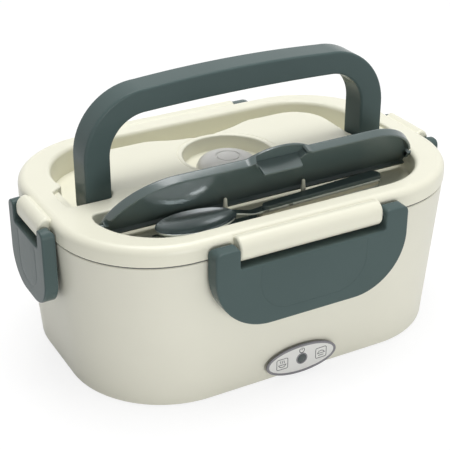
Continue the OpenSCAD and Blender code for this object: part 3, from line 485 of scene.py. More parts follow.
def badgeFace(x, z):
    # how far the panel's face stands out: its seat plus a dome that falls with the squared share of the oval
    share = (x / badge["halfLength"]) ** 2 + ((z - box["badgeZ"]) / badge["halfHeight"]) ** 2
    return box["badgeY"] + badge["dome"] * np.clip(1 - share, 0, 1)


def halfRound(half, low, rise, under):
    # section of a half-round ring: (half cos q, low + rise sin q), then back underneath
    q = np.linspace(0, np.pi, 9)
    return np.append(half * np.cos(q), [-half, half]), np.append(low + rise * np.sin(q), [-under, -under])


def badgeRing(b):
    # the half-round section carried round the oval
    half = b["ringWidth"] / 2
    offset, out = halfRound(half, 0, b["ringRise"], b["under"])
    return loft(badgeRings(b["halfLength"] - half + offset, b["halfHeight"] - half + offset, out), loop=True)


def badgePanel(b):
    # ovals from the lamp's hole out to the ring, laid on the crowned face, and back underneath
    share = np.linspace(0, 1, 9)
    a, h = (b[size] - b["ringWidth"] + b["lap"] - b["lampR"] for size in ("halfLength", "halfHeight"))
    top = badgeRings(b["lampR"] + a * share, b["lampR"] + h * share, share)
    top[..., 1] = -badgeFace(top[..., 0], top[..., 2])
    under = top[::-1].copy()
    under[..., 1] = -(box["badgeY"] - b["under"])
    return loft(np.concatenate([top, under]), loop=True)


def lampBezel(b):
    # the half-round section carried round the lamp
    half = b["bezel"] / 2
    offset, out = halfRound(half, b["bezelLow"], b["bezelRise"], b["lampUnder"])
    radius = b["lampR"] + half - b["lap"] + offset
    return loft(badgeRings(radius, radius, out), loop=True)


def lampLens(b):
    # a low dome whose height falls with the square of the distance from its middle
    share = np.linspace(1, 0, 9)
    profile = [(0, -b["lampUnder"]), (b["lensR"], -b["lampUnder"])]
    profile += zip(b["lensR"] * share, b["lensLow"] + b["lensRise"] * (1 - share ** 2))
    return moved(revolve(profile, (0, 0), 64), (0, 2, 1), (1, -1, 1), (0, -box["badgeY"], box["badgeZ"]))


def ribbon(path, width, closed=False):
    # a printed line: a path in (x, z) given a width along its normals and laid on the badge's face
    out = sideways(path, closed) * width / 2
    corners = np.stack([path - out, path + out, path + out, path - out], 1)
    rise = np.array([0.0, 0.0, 0.05, 0.05]) - 0.01
    y = -(badgeFace(corners[..., 0], corners[..., 1]) + rise)
    return loft(np.stack([corners[..., 0], y, corners[..., 1]], -1), loop=closed)


def signShells(g):
    # own plain signs: a ring with a bar above the lamp, a dish under waves on the left, and a bowl with a lid
    # on the right
    middle = np.array([0, box["badgeZ"]])
    ring = arcOf((0, g["powerUp"]), g["powerR"], 125, 415, 40)
    bar = np.array([[0, g["powerUp"]], [0, g["powerTop"]]])
    shells = [ribbon(line + middle, g["line"]) for line in (ring, bar)]
    outline = roundedPlan(g["frameA"], g["frameB"], g["frameR"], arc=5, side=2, front=2)
    shells += [ribbon(outline + middle + [s * g["away"], 0], g["fineLine"], True) for s in (-1, 1)]
    arch = arcOf((0, 0), np.array([g["archA"], g["archB"]]), 0, 180, 20)
    plate = np.array([[-g["plateHalf"], 0], [g["plateHalf"], 0]])
    for line, side, up in ((arch * [1, -1], -1, g["dishUp"]), (plate, -1, g["dishUp"]),
                           (arch, 1, g["bowlUp"]), (plate, 1, g["bowlUp"]),
                           (plate * g["footShare"], 1, g["footUp"])):
        shells.append(ribbon(line + middle + [side * g["away"], up], g["fineLine"]))
    share = np.linspace(0, 1, 12)
    wave = np.stack([g["waveSwing"] * np.sin(share * 2 * np.pi), g["waveUp"] + g["waveHigh"] * share], 1)
    for x in (-g["waveGap"], 0, g["waveGap"]):
        shells.append(ribbon(wave + middle + [x - g["away"], 0], g["waveLine"]))
    return shells


addPiece("badgeRing", [badgeRing(badge)], "housing", finishes["ring"], ["badge_ring"])
addPiece("badgePanel", [badgePanel(badge)], "housing", finishes["panel"], ["badge_panel"])
addPiece("lampBezel", [lampBezel(badge)], "housing", finishes["ring"])
addPiece("lampLens", [lampLens(badge)], "housing", finishes["lamp"])
addPiece("badgeSigns", signShells(signs), "housing", finishes["sign"])
print("badge made")

lid = {
    "outerRound": 4.4, "innerRound": 2.8, "wall": 2.3,
    "panOut": 3.8,                                              # the pan's walls outside the opening
    "webCorner": 3.5, "recessEdge": 1.3, "trenchEdge": 1.1, "wellEdge": 1.0,
    "wellR": 24.9, "wellY": 6.6, "wellZ": 87.0,                 # the steam valve's well
    "collarR": 31.5, "collarFade": 3.5,
    "grooveR": 27.6, "grooveDeep": 0.45, "grooveWide": 0.42,    # a fine ring groove outside the well
    "grooveRings": (26.5, 26.9, 27.2, 27.4, 27.6, 27.8, 28.0, 28.3, 28.8, 29.5, 30.3, 31.1, 31.9),
    "panelA": 74.5, "panelFront": -13.5, "panelRear": 43.8, "panelCorner": 21.0, "panelRise": 6.5,
    "endFade": 77.5, "rearFade": 48,                            # where the panel is down to the rim's height
    "valleyDeep": 0.55, "valleyWide": 1.2, "valleyShift": 0.2,  # along the foot of the panel's front slope
    "scoopDepth": 7.8, "scoopR": 62.5, "scoopEase": 3,          # the arc cut into the panel's rear edge
    "pocketX": 100, "pocketZ": 86.5, "pocketRear": 11.2, "pocketSlant": 15.8, "pocketCorner": 3,
    "backIn": 96, "backOut": 101.8, "backFront": -12, "backRear": 14, "backSlant": 17.5,
    "backLow": 85.2, "backHigh": 91.8,                          # the block behind each pocket
}
hinge = {
    "upperR": 5.5, "lowerR": 5.2, "lowZ": 81.0, "seatZ": 84.4, "seatIn": -4.6, "footIn": 0.2, "endRound": 1.4,
    # the valley between the rim and the barrel, in (outwards, height)
    "valley": ((-4.6, 93.9), (-3.4, 93.5), (-2.4, 93.1), (-1.6, 92.85), (-0.9, 92.9), (-0.2, 93.35),
               (0.6, 93.85)),
}
cutleryPegs = (
    {"x": 0.0, "apart": 23.5, "y": -33.4, "tip": 91.9, "footR": 1.8, "tipR": 0.9},
    {"x": 5.5, "apart": 7.5, "y": -48.2, "tip": 84.8, "footR": 1.4, "tipR": 0.95},
)


def recessLoop(l):
    # the cutlery recess: the front of the opening, closed along the web
    a, b, r, y = box["openA"], box["openB"], box["openR"], box["webFront"]
    return roundCorners([(-a, y, l["webCorner"]), (-a, -b, r), (a, -b, r), (a, y, l["webCorner"])])


def trenchLoop(l):
    # the handle's trench: round the raised panel, whose rear edge is scooped out by an arc, then round the
    # pocket at each end and the rear of the opening; the right side is listed and the left mirrors it
    a, b, r, y = box["openA"], box["openB"], box["openR"], box["webRear"]
    panelX, rear, pocketX = l["panelA"], l["panelRear"], l["pocketX"]
    centre = rear - l["scoopDepth"] + l["scoopR"]
    edge = math.sqrt(l["scoopR"] ** 2 - (centre - rear) ** 2)
    x = np.linspace(l["scoopEase"] - edge, edge - l["scoopEase"], 40)
    scoop = np.stack([x, centre - np.sqrt(l["scoopR"] ** 2 - x ** 2), np.zeros(40)], 1).tolist()
    right = [(edge + l["scoopEase"], rear, 0), (panelX, rear, l["panelCorner"]), (panelX, y, l["webCorner"]),
             (pocketX, y, l["pocketCorner"]), (pocketX, l["pocketRear"], 1.5), (a, l["pocketSlant"], 2),
             (a, b, r)]
    left = [(-x, y, radius) for x, y, radius in right[::-1]]
    return roundCorners(left[3:] + scoop + right + left[:3])


def topHeight(x, y):
    # height of the rim, the web and the raised panel: flat, then a shallow valley behind the web and a soft
    # rise, with a collar round the well and a fine ring groove outside it
    away = np.hypot(x, y - lid["wellY"])
    inside = smoothStep((lid["endFade"] - np.abs(x)) / 5) * smoothStep((lid["rearFade"] - y) / 2)
    rise = smoothStep((y - lid["panelFront"]) / lid["panelRise"]) * inside
    collar = smoothStep((lid["collarR"] - away) / lid["collarFade"])
    collar = collar * smoothStep((y - box["webFront"] - 1) / 5)
    foot = (y - lid["panelFront"] - lid["valleyShift"]) / lid["valleyWide"]
    valley = lid["valleyDeep"] * np.exp(-foot ** 2) * (1 - collar) * inside
    groove = lid["grooveDeep"] * np.exp(-((away - lid["grooveR"]) / lid["grooveWide"]) ** 2)
    return box["topZ"] + (box["panelZ"] - box["topZ"]) * np.maximum(rise, collar) - valley - groove


def hollow(outline, r, levels):
    # a hollow in the top: its edge turns down over a quarter circle of a radius given for each point, then it
    # follows (height, outline) levels; returns the edge's loop and the shell
    out = outwards(outline)
    r = np.broadcast_to(r, (len(outline),))
    edge = outline + r[:, None] * out
    top = topHeight(edge[:, 0], edge[:, 1])
    rings = [atHeight(outline + (r * f)[:, None] * out, top - r * g) for f, g in zip(*quarterTurn(8))]
    rings += [atHeight(path, z) for z, path in levels]
    return edge, loft(np.array(rings), caps=(False, True))


def lidHollows(l):
    # the recess, the trench and the well, as (outline, radius of the edge, levels); the edges are tighter
    # beside the web, and below its pockets the trench is cut off at the opening's ends
    recess, trench = recessLoop(l), trenchLoop(l)
    well = np.array([0, l["wellY"]]) + l["wellR"] * unitCircle(150)
    floor = np.stack([np.clip(trench[:, 0], -box["openA"], box["openA"]), trench[:, 1]], 1)
    wide, narrow, thin = l["innerRound"], l["recessEdge"], l["trenchEdge"]
    recessEdge = narrow + (wide - narrow) * smoothStep((-24 - recess[:, 1]) / 6)
    wideFrom = np.where(np.abs(trench[:, 0]) > 88, 17, -5)
    trenchEdge = thin + (wide - thin) * smoothStep((trench[:, 1] - wideFrom) / 6)
    recessZ, trenchZ, wellZ, pocketZ = box["recessZ"], box["trenchZ"], l["wellZ"], l["pocketZ"]
    return [
        (recess, recessEdge, [(recessZ + 2.2, recess), (recessZ + 1.0, recess),
                              (recessZ + 0.3, shrink(recess, 0.4)), (recessZ, shrink(recess, 1.6))]),
        (trench, trenchEdge, [(pocketZ + 0.5, trench), (pocketZ, trench),
                              (pocketZ, floor), (trenchZ + 1.1, floor), (trenchZ, floor)]),
        (well, l["wellEdge"], [(wellZ + 1.2, well),
                               (wellZ + 0.3, shrink(well, 0.3)), (wellZ, shrink(well, 1.2))]),
    ]


def topSpots(l):
    # rows of points over the web and the panel, and circles that stand closer together round the ring groove
    gx, gy = np.meshgrid(np.arange(-78, 78.1, 2.6), np.arange(-20.6, 46, 1.1))
    rows = np.stack([gx.ravel(), gy.ravel()], 1)
    centre = np.array([0, l["wellY"]])
    outside = np.hypot(rows[:, 0], rows[:, 1] - l["wellY"]) > l["grooveRings"][-1] + 0.5
    circles = [centre + radius * unitCircle(150) for radius in l["grooveRings"]]
    return np.concatenate([rows[outside]] + circles)


def within(points, loop):
    # which points lie inside a loop: a ray to +x crosses its edges an odd number of times
    x, y = points[:, 0, None], points[:, 1, None]
    x0, y0 = loop[None, :, 0], loop[None, :, 1]
    x1, y1 = np.roll(x0, -1, 1), np.roll(y0, -1, 1)
    crosses = ((y0 > y) != (y1 > y)) & (x < x0 + (y - y0) * (x1 - x0) / np.where(y1 == y0, 1e-12, y1 - y0))
    return crosses.sum(1) % 2 == 1


def insideTop(points, loops):
    # inside the outer loop and outside every hollow
    good = within(points, loops[0])
    for loop in loops[1:]:
        good &= ~within(points, loop)
    return good


def lidTop(l, outer):
    # the three hollows, and the top between the outer loop and their edges, triangulated over spots that take
    # their height from topHeight
    hollows = [hollow(*values) for values in lidHollows(l)]
    loops = [outer] + [edge for edge, shell in hollows]
    spots = topSpots(l)
    spots = spots[(distanceTo(spots, np.concatenate(loops[1:])) > 0.75) & insideTop(spots, loops)]
    edges, start = [], 0
    for loop in loops:
        n = len(loop)
        edges += [(start + i, start + (i + 1) % n) for i in range(n)]
        start += n
    found = delaunay_2d_cdt([Vector(p) for p in np.concatenate(loops + [spots])], edges, [], 0, 1e-6)
    flat = np.array([tuple(v) for v in found[0]])
    tris = np.array([f for f in found[2] if len(f) == 3])
    tris = tris[insideTop(flat[tris].mean(1), loops)]
    top = atHeight(flat, topHeight(flat[:, 0], flat[:, 1]))
    return [shell for edge, shell in hollows] + [(top, tris.tolist())]


def lidSkin(l):
    # from the top's outer edge over a quarter circle, down the skirt, under its lip, up inside and down round
    # the pan
    r, top, seam, ceiling = l["outerRound"], box["topZ"], box["seamZ"], box["topZ"] - l["wall"]
    stations = [("lid", r * falling, top - r * rising) for falling, rising in zip(*quarterTurn(10))]
    stations += [("lid", 0, 87.5), ("lid", -0.05, seam + 0.9), ("lid", 0.0, seam + 0.45),
                 ("lid", 0.25, seam + 0.1), ("lid", 0.6, seam), ("lid", l["wall"], seam),
                 ("lid", l["wall"], ceiling), ("open", -l["panOut"], ceiling),
                 ("open", -l["panOut"], box["panZ"])]
    rings = planRings(box, stations)
    return rings[0][:, :2], loft(rings, caps=(False, True))


def onSide(side, shell):
    # (along, outwards from the lid's face, height) placed on one of the four sides
    reach = {"front": box["lidB"], "rear": box["lidB"], "left": box["lidA"], "right": box["lidA"]}[side]
    points, faces = shell
    u, out, z = points[:, 0], points[:, 1] + reach, points[:, 2]
    x, y = {"front": (-u, -out), "rear": (u, out), "left": (-out, u), "right": (out, -u)}[side]
    return np.stack([x, y, z], 1), faces


def hingeBar(side, kind, h):
    # bar section in (outwards, height): a valley beside the rim, a barrel front and a rounded underside,
    # carried along the side and drawn in at both ends over a quarter circle
    reach, half, r = kind["barReach"], kind["barHalf"], h["endRound"]
    upper = arcOf((reach - h["upperR"], box["topZ"] - h["upperR"]), h["upperR"], 90, 0, 12)[1:]
    lower = arcOf((reach - h["lowerR"], h["lowZ"] + h["lowerR"]), h["lowerR"], 0, -90, 12)
    foot = [(h["footIn"], h["lowZ"]), (h["footIn"], h["seatZ"]), (h["seatIn"], h["seatZ"])]
    section = np.concatenate([h["valley"], upper, lower, foot])
    falling, rising = quarterTurn(6)
    insets = np.concatenate([r * falling, (r * falling)[::-1]])
    along = np.concatenate([-half + r * rising, (half - r * rising)[::-1]])
    rings = lifted(section - insets[:, None, None] * outwards(section), along)
    return onSide(side, loft(rings[..., [2, 0, 1]]))


def pegShell(peg, s):
    # a tapered peg that stands in the recess's floor, with a round tip
    foot, r = box["recessZ"] - 1, peg["tipR"]
    profile = [(0, foot), (peg["footR"], foot)] + arcOf((0, peg["tip"] - r), r, 0, 90, 6).tolist()
    return revolve(profile, (peg["x"] + s * peg["apart"], peg["y"]), 24)


def pocketBack(l, s):
    # the block behind a pocket of the trench
    outline = np.array([[l["backIn"], l["backFront"]], [l["backOut"], l["backFront"]],
                        [l["backOut"], l["backRear"]], [l["backIn"], l["backSlant"]]]) * [s, 1]
    return slabOf(outline[::s], l["backLow"], l["backHigh"], 0, 0)


outerLoop, skin = lidSkin(lid)
lidShells = [joinShells([skin] + lidTop(lid, outerLoop))]
lidShells += [hingeBar(side, kind, hinge) for side, kind in latchSides]
lidShells += [pegShell(peg, s) for peg in cutleryPegs for s in (-1, 1)]
lidShells += [pocketBack(lid, s) for s in (-1, 1)]
addPiece("lidShell", lidShells, "lid", finishes["lid"], ["lid_shell"], sharp=50)
print("lid made")

valve = {
    "radius": 17.5, "height": 7.6, "topR": 7.0, "grooveDeep": 0.7,
    "stem": 3.6, "stemZ": 74.6, "lift": 0.1,                    # lift: the gap under the flange
}


def valveShell(v):
    # a stem, a thin flange, a dome on part of an ellipse, and a flat top disc with a ring groove round it
    r, disc, stem, foot = v["radius"], v["topR"], v["stem"], v["stemZ"]
    base = lid["wellZ"] + v["lift"]
    top = base + v["height"] - 0.1
    dome = arcOf((disc, base + 1.1), np.array([r - disc - 0.5, v["height"] - 1.2]), 8, 90, 16)
    groove = top - v["grooveDeep"]
    profile = [(0, foot), (stem - 0.3, foot), (stem, foot + 0.3), (stem, base), (r - 0.2, base),
               (r, base + 0.2), (r, base + 0.8), (r - 0.25, base + 1.1)]
    profile += dome.tolist()
    profile += [(disc - 0.1, top - 0.15), (disc - 0.35, groove), (disc - 0.9, groove),
                (disc - 1.15, top - 0.1), (disc - 1.6, top + 0.02), (3.0, top + 0.06), (0, top + 0.06)]
    return revolve(profile, (0, lid["wellY"]), 120)


addPiece("steamValve", [valveShell(valve)], "valve", finishes["valve"], ["steam_valve"],
         sharp=60)
print("valve made")

# what both kinds of latch share
latchForm = {
    "bottom": 44.8, "notch": 79.6, "pin": 87.0, "hook": 49.8,   # heights
    "hookHigh": 4.0, "hookShare": 0.4, "hookDeep": 0.6,
    "barGap": 0.9, "armCorner": 4.2, "armInner": 2.2, "notchCorner": 1.2, "back": 0.5,
    "slope": 0.13, "slopeHigh": 1.5, "pinRoom": 0.3,
    "depths": (-2.4, -1.2, 0, 1.5),                             # rings between back and front, from the pin
    "grooveUp": 7, "grooveEnd": 2.4, "grooveWide": 0.4, "grooveLines": (-0.5, -0.18, 0.18, 0.5),
}


def latchOutline(k, form):
    # a broad D with a notch for the hinge bar
    half, top, inner = k["half"], k["top"], k["barHalf"] + form["barGap"]
    corners = [(half, form["bottom"], k["corner"]), (half, top, form["armCorner"]),
               (inner, top, form["armInner"]), (inner, form["notch"], form["notchCorner"])]
    mirrored = [(-x, z, r) for x, z, r in corners[::-1]]
    return roundCorners(mirrored[2:] + corners + mirrored[:2], 0.8)


def groovePath(k, form, shift=0.0):
    # the line in the latch's face: down from the notch, round two corners and up again
    w = k["groove"] + shift
    low, high = form["bottom"] + form["grooveUp"] - shift, form["notch"] - form["grooveEnd"]
    r = min(k["corner"] * 0.55, k["groove"] - 1.5) + shift
    t = np.linspace(0, np.pi / 2, 22)
    left = np.stack([-w + r - r * np.cos(t), low + r - r * np.sin(t)], 1)
    return walk(np.concatenate([[[-w, high]], left, left[::-1] * [-1, 1], [[w, high]]]), 1.2)


def latchRings(k, form):
    # the outline's rings from back to front, drawn in over a quarter circle at both edges
    outline = latchOutline(k, form)
    back, edge, inner = form["back"], k["edge"], k["reach"] - k["thick"]
    falling, rising = quarterTurn(6)
    inset = np.concatenate([back * falling, [0] * len(form["depths"]), edge * rising])
    depth = np.concatenate([inner + back * rising, k["pinOut"] + np.array(form["depths"]),
                            k["reach"] - edge * falling])
    return lifted(outline - inset[:, None, None] * outwards(outline), depth)[..., [0, 2, 1]]


def latchFace(k, form, rim):
    # the front face inside its rim, triangulated along the groove's lines; the groove's depth is a bell curve
    # of the distance to its middle line
    lines = [groovePath(k, form, shift) for shift in form["grooveLines"]]
    edges, start = [], len(rim)
    for line in lines:
        edges += [(start + i, start + i + 1) for i in range(len(line) - 1)]
        start += len(line)
    seeds = [Vector(p) for p in np.concatenate([rim] + lines)]
    found = delaunay_2d_cdt(seeds, edges, [list(range(len(rim)))], 1, 1e-6)
    flat = np.array([tuple(v) for v in found[0]])
    gap = distanceTo(flat, walk(groovePath(k, form), 0.4))
    depth = k["grooveDepth"] * np.exp(-(gap / form["grooveWide"]) ** 2)
    return np.stack([flat[:, 0], k["reach"] - depth, flat[:, 1]], 1), [list(f) for f in found[2]]


def shapeArms(points, k, form):
    # the arms' tops slope down towards the front, and their backs keep within a circle about the pin
    u, w, z = points.T
    nearTop = smoothStep((z - k["top"] + form["slopeHigh"]) / form["slopeHigh"])
    z = z - form["slope"] * np.clip(w - k["pinOut"], 0, None) * nearTop
    radius = k["pinOut"] - form["pinRoom"]
    room = np.sqrt(np.clip(radius ** 2 - (z - form["pin"]) ** 2, 0, None))
    w = np.where((z > form["pin"]) & (w < k["pinOut"] - room), k["pinOut"] - room, w)
    return np.stack([u, w, z], 1)


def latchShells(k, form):
    # the latch with its face, and the hook behind its lower edge
    rings = latchRings(k, form)
    points, faces = joinShells([loft(rings, caps=(True, False)), latchFace(k, form, rings[-1][:, [0, 2]])])
    outline = rectangle(form["hookShare"] * k["half"], form["hook"], form["hook"] + form["hookHigh"])
    hook = slabOf(outline, -0.03, k["reach"] - k["thick"] + form["hookDeep"], 0.3, 0)
    return [(shapeArms(points, k, form), faces), moved(hook, (0, 2, 1))]


for side, kind in latchSides:
    addPiece(side + "Latch", [onSide(side, s) for s in latchShells(kind, latchForm)], "latch_" + side,
             finishes["slate"], [side + "_latch"], sharp=50)
print("latches made")

handle = {
    "halfOut": 89.5, "legWidth": 14.0, "topZ": 151.0, "gripHigh": 13.5, "outerR": 35.0, "crown": 2.0,
    "innerCrown": 0.6, "halfThick": 8.1, "pivotY": -1.0, "pivotZ": 88.7, "edge": 1.3,
}


def archPath(half, top, r, rise, pivotZ):
    # a crowned line, a quarter circle and a straight leg, from the left pivot over the top to the right pivot
    x = np.linspace(0, half - r, 22)
    crown = np.stack([x, top - rise * (x / (half - r)) ** 2], 1)
    bend = arcOf((half - r, top - rise - r), r, 90, 0, 20)[1:]
    leg = np.stack([np.full(8, half), np.linspace(bend[-1, 1], pivotZ, 9)[1:]], 1)
    right = np.concatenate([crown, bend, leg])
    return np.concatenate([right[:0:-1] * [-1, 1], right])


def handleShell(h):
    # a rounded rectangle carried between an outer and an inner arch; below each pivot its depth follows a
    # circle down to nothing
    innerHalf = h["halfOut"] - h["legWidth"]
    outer = archPath(h["halfOut"], h["topZ"], h["outerR"], h["crown"], h["pivotZ"])
    inner = archPath(innerHalf, h["topZ"] - h["gripHigh"], h["outerR"] - h["legWidth"],
                     h["crown"] * h["innerCrown"], h["pivotZ"])
    t = np.radians(np.linspace(4, 90, 10)[:-1])
    low, thin = h["pivotZ"] - h["halfThick"] * np.cos(t), h["halfThick"] * np.sin(t)
    depth = np.concatenate([thin, np.full(len(outer), h["halfThick"]), thin[::-1]])
    outerFoot, innerFoot = (np.stack([np.full(len(low), half), low], 1) for half in (h["halfOut"], innerHalf))
    outer = np.concatenate([outerFoot * [-1, 1], outer, outerFoot[::-1]])
    inner = np.concatenate([innerFoot * [-1, 1], inner, innerFoot[::-1]])
    width = np.linalg.norm(outer - inner, axis=1)
    across = ((outer - inner) / width[:, None])[:, None]
    section = roundedPlan(width / 2, depth, np.minimum(h["edge"], depth * 0.98), arc=7, side=3, front=3)
    flat = (outer + inner)[:, None] / 2 + section[..., :1] * across
    return loft(np.stack([flat[..., 0], h["pivotY"] + section[..., 1], flat[..., 1]], -1))


addPiece("carryHandle", [handleShell(handle)], "handle", finishes["slate"], ["carry_handle"],
         sharp=50)
print("handle made")

# the cutlery cover is made shut and turned open about its stubs
cover = {
    "gap": 0.5, "rear": -22.8, "thick": 1.6, "topRound": 1.4,
    "edgeDeep": 2.3, "wallDeep": 5.2, "tabDeep": 1.7, "lipDeep": 3.9,   # how far its edge hangs down
    "tabOut": 6.0, "tabHalf": 18.0, "tabEdge": 15.2,
    "lowEdge": ((0.0, 0.45), (0.13, 0.13), (0.45, 0.0)),        # (inset, rise) round the wall's lower edge
    "fillet": 1.2,
    "tongueTop": 12.4, "tongueLow": 11.4, "tongueDeep": 10.0, "tongueIn": 3.2, "tongueThick": 1.6,
    "cheek": ((15.4, 0.4), (14.0, 0.4), (11.8, 3.4), (12.6, 4.6)),      # in (x, inwards from the front edge)
    "axisY": -33.6, "axisZ": 92.2, "open": 58.0,                # degrees, leaning forwards over the recess
    "stubX": 92.14, "stubR": 1.2, "lugHalf": 1.05, "lugDeep": 2.0, "lugIn": 1.95,
}


def coverOutline(c):
    # the opening's outline less a gap, cut straight along the web, with a finger tab: an arc of radius
    # (half^2 + out^2) / (2 out)
    a, b, r = (box["open" + letter] - c["gap"] for letter in "ABR")
    plan = roundedPlan(a, b, r, arc=30, side=60, front=80)
    x, y = plan[:, 0], np.minimum(plan[:, 1], c["rear"])
    tabR = (c["tabHalf"] ** 2 + c["tabOut"] ** 2) / (2 * c["tabOut"])
    bulge = np.sqrt(np.clip(tabR ** 2 - x ** 2, 0, None)) - (tabR - c["tabOut"])
    outline = np.stack([x, np.where(y < -b + 0.01, y - np.clip(bulge, 0, None), y)], 1)
    return outline[np.linalg.norm(outline - np.roll(outline, 1, 0), axis=1) > 0.05]


def coverDepth(c, x, y):
    # how far the edge hangs down: shallow at the ends, deeper in front of the axis, thin at the tab and a lip
    # along the rear
    wall = smoothStep((c["axisY"] - 4.5 - y) / 2.0)
    depth = c["edgeDeep"] + (c["wallDeep"] - c["edgeDeep"]) * wall
    tab = smoothStep((c["tabEdge"] - np.abs(x)) / 1.2) * (y < c["gap"] - box["openB"] + 0.3)
    depth = depth + (c["tabDeep"] - depth) * tab
    return np.where(y > c["rear"] - 0.01, c["lipDeep"], depth)


def coverPlate(c):
    # the outline's rings over the round top edge, down the wall, round its lower edge and up to the underside
    outline = coverOutline(c)
    depth = coverDepth(c, outline[:, 0], outline[:, 1])
    top, r = box["panelZ"], c["topRound"]
    low, under = top - depth, top - c["thick"]
    stations = [(r * falling, top - r * rising) for falling, rising in zip(*quarterTurn(6))]
    stations += [(inset, low + up) for inset, up in c["lowEdge"]]
    stations += [(c["thick"] - inset, low + up) for inset, up in c["lowEdge"][::-1]]
    share = np.clip((depth - c["edgeDeep"]) / 3.0, 0, 1)
    stations += [(c["thick"] + c["fillet"] * rising, under - c["fillet"] * share * falling)
                 for falling, rising in list(zip(*quarterTurn(4)))[1:]]
    out = sideways(outline)
    return loft(np.array([atHeight(outline - inset * out, z) for inset, z in stations]))


def coverTongue(c, front, top, under):
    # the upright plate under the tab: a tapered outline in (x, height) made thick inwards
    outline = np.array([[-c["tongueTop"], under + 0.2], [c["tongueTop"], under + 0.2],
                        [c["tongueLow"], top - c["tongueDeep"]], [-c["tongueLow"], top - c["tongueDeep"]]])
    slab = slabOf(walkRound(outline, 1.0)[::-1], 0, c["tongueThick"], 0.5, 0.5)
    return moved(slab, (0, 2, 1), shift=(0, front + c["tongueIn"], 0))


def coverEnd(c, s, front, top, under):
    # on one side: the slanted cheek that joins tongue and wall, the lug, and the hinge stub with its tapered
    # end
    cheek = (np.array(c["cheek"]) + [0, front]) * [s, 1]
    lug = rectangle(c["lugHalf"], -c["lugDeep"], c["lugDeep"]) + [s * (c["stubX"] - c["lugIn"]), c["axisY"]]
    xs = np.array([-3.0, 1.6, 1.9]) * s + s * c["stubX"]
    rs = np.array([1.0, 1.0, 0.75]) * c["stubR"]
    stub = lifted(np.array([c["axisY"], c["axisZ"]]) + rs[:, None, None] * unitCircle(24), xs)[..., [2, 0, 1]]
    return [slabOf(cheek[::-s], top - c["wallDeep"], under + 0.3, 0.3, 0),
            slabOf(lug, c["axisZ"] - c["stubR"], under + 0.2, 0.3, 0), loft(stub)]


def turnedOpen(shell, c):
    # turns a shell about the stubs' line
    points, faces = shell
    turn = math.radians(-c["open"])
    v, w = points[:, 1] - c["axisY"], points[:, 2] - c["axisZ"]
    return np.stack([points[:, 0], c["axisY"] + v * math.cos(turn) - w * math.sin(turn),
                     c["axisZ"] + v * math.sin(turn) + w * math.cos(turn)], 1), faces


def coverShells(c):
    # plate, tongue and both ends, all turned open
    front, top, under = c["gap"] - box["openB"], box["panelZ"], box["panelZ"] - c["thick"]
    shells = [coverPlate(c), coverTongue(c, front, top, under)]
    for s in (-1, 1):
        shells += coverEnd(c, s, front, top, under)
    return [turnedOpen(shell, c) for shell in shells]


addPiece("cutleryCover", coverShells(cover), "cover", finishes["slateGloss"], ["cutlery_cover"],
         sharp=50)
print("cover made")

# the handles of spoon and fork run along one slightly skewed line
cutleryLine = {"startX": -10, "startY": -42, "long": 73, "drift": 4.4}
spoon = {
    "bowlX": -46.0, "bowlY": -44.2, "bowlA": 22.0, "bowlB": 12.0, "bowlDeep": 6.2, "rimZ": 89.3,
    "stripZ": 85.3, "end": 70.0, "endRound": 4.0, "neckHalf": 2.4, "endHalf": 4.3,
    "stripThick": 1.2, "bowlThick": 0.9,
    # start and length in x of the change from bowl to strip, in width, place and height
    "widthFade": (-45, 20), "placeFade": (-26, 20), "heightFade": (-27, 17),
}
grip = {"startX": -6, "endX": 69.6, "startHalf": 2.7, "endHalf": 4.1, "low": 85.3, "high": 87.3}


def shareAlong(x):
    # share of the way along the line
    return (x - cutleryLine["startX"]) / cutleryLine["long"]


def middleY(x):
    # the line's y, which drifts backwards towards +X
    return cutleryLine["startY"] + cutleryLine["drift"] * shareAlong(x)


def fade(x, span):
    # soft step from 0 to 1 that begins at the span's start and takes its length
    start, long = span
    return smoothStep((x - start) / long)


def spoonShell(s):
    # sections across the spoon: an arc whose width and depth follow the bowl's ellipse, then the neck and the
    # strip; bowl and strip widths blend as the fourth root of the sum of their fourth powers
    stripEnd = s["end"] - s["endRound"]
    bowlX = s["bowlX"] - s["bowlA"] * np.cos(np.linspace(0.06, np.pi, 34))
    tipX = stripEnd + s["endRound"] * np.sin(np.linspace(0.1, np.pi / 2, 8))
    x = np.concatenate([bowlX, np.linspace(-23, -6, 14), np.linspace(-4, stripEnd, 20), tipX])
    inside = np.clip(1 - ((x - s["bowlX"]) / s["bowlA"]) ** 2, 0, 1)
    strip = s["neckHalf"] + (s["endHalf"] - s["neckHalf"]) * np.clip(shareAlong(x), 0, 1)
    tip = np.sqrt(np.clip(1 - ((x - stripEnd) / (s["endRound"] + 0.05)) ** 2, 0.01, 1))
    strip = np.where(x > stripEnd, strip * tip, strip) * fade(x, s["widthFade"])
    width = ((s["bowlB"] * inside ** 0.5) ** 4 + strip ** 4) ** 0.25
    middle = s["bowlY"] + (middleY(x) - s["bowlY"]) * fade(x, s["placeFade"])
    rim = s["rimZ"] + (s["stripZ"] - s["rimZ"]) * fade(x, s["heightFade"])
    deep = s["bowlDeep"] * inside ** 0.62
    q = np.linspace(-1, 1, 19)
    top = rim[:, None] - deep[:, None] * (1 - np.abs(q) ** 2.2)
    thick = np.where(x > cutleryLine["startX"], s["stripThick"], s["bowlThick"])[:, None]
    along = np.broadcast_to(x[:, None], top.shape)
    upper = np.stack([along, middle[:, None] + width[:, None] * q, top], -1)
    lower = np.stack([along, middle[:, None] + (width[:, None] - 0.05) * q, top - thick], -1)
    return loft(np.concatenate([upper, lower[:, ::-1]], 1))


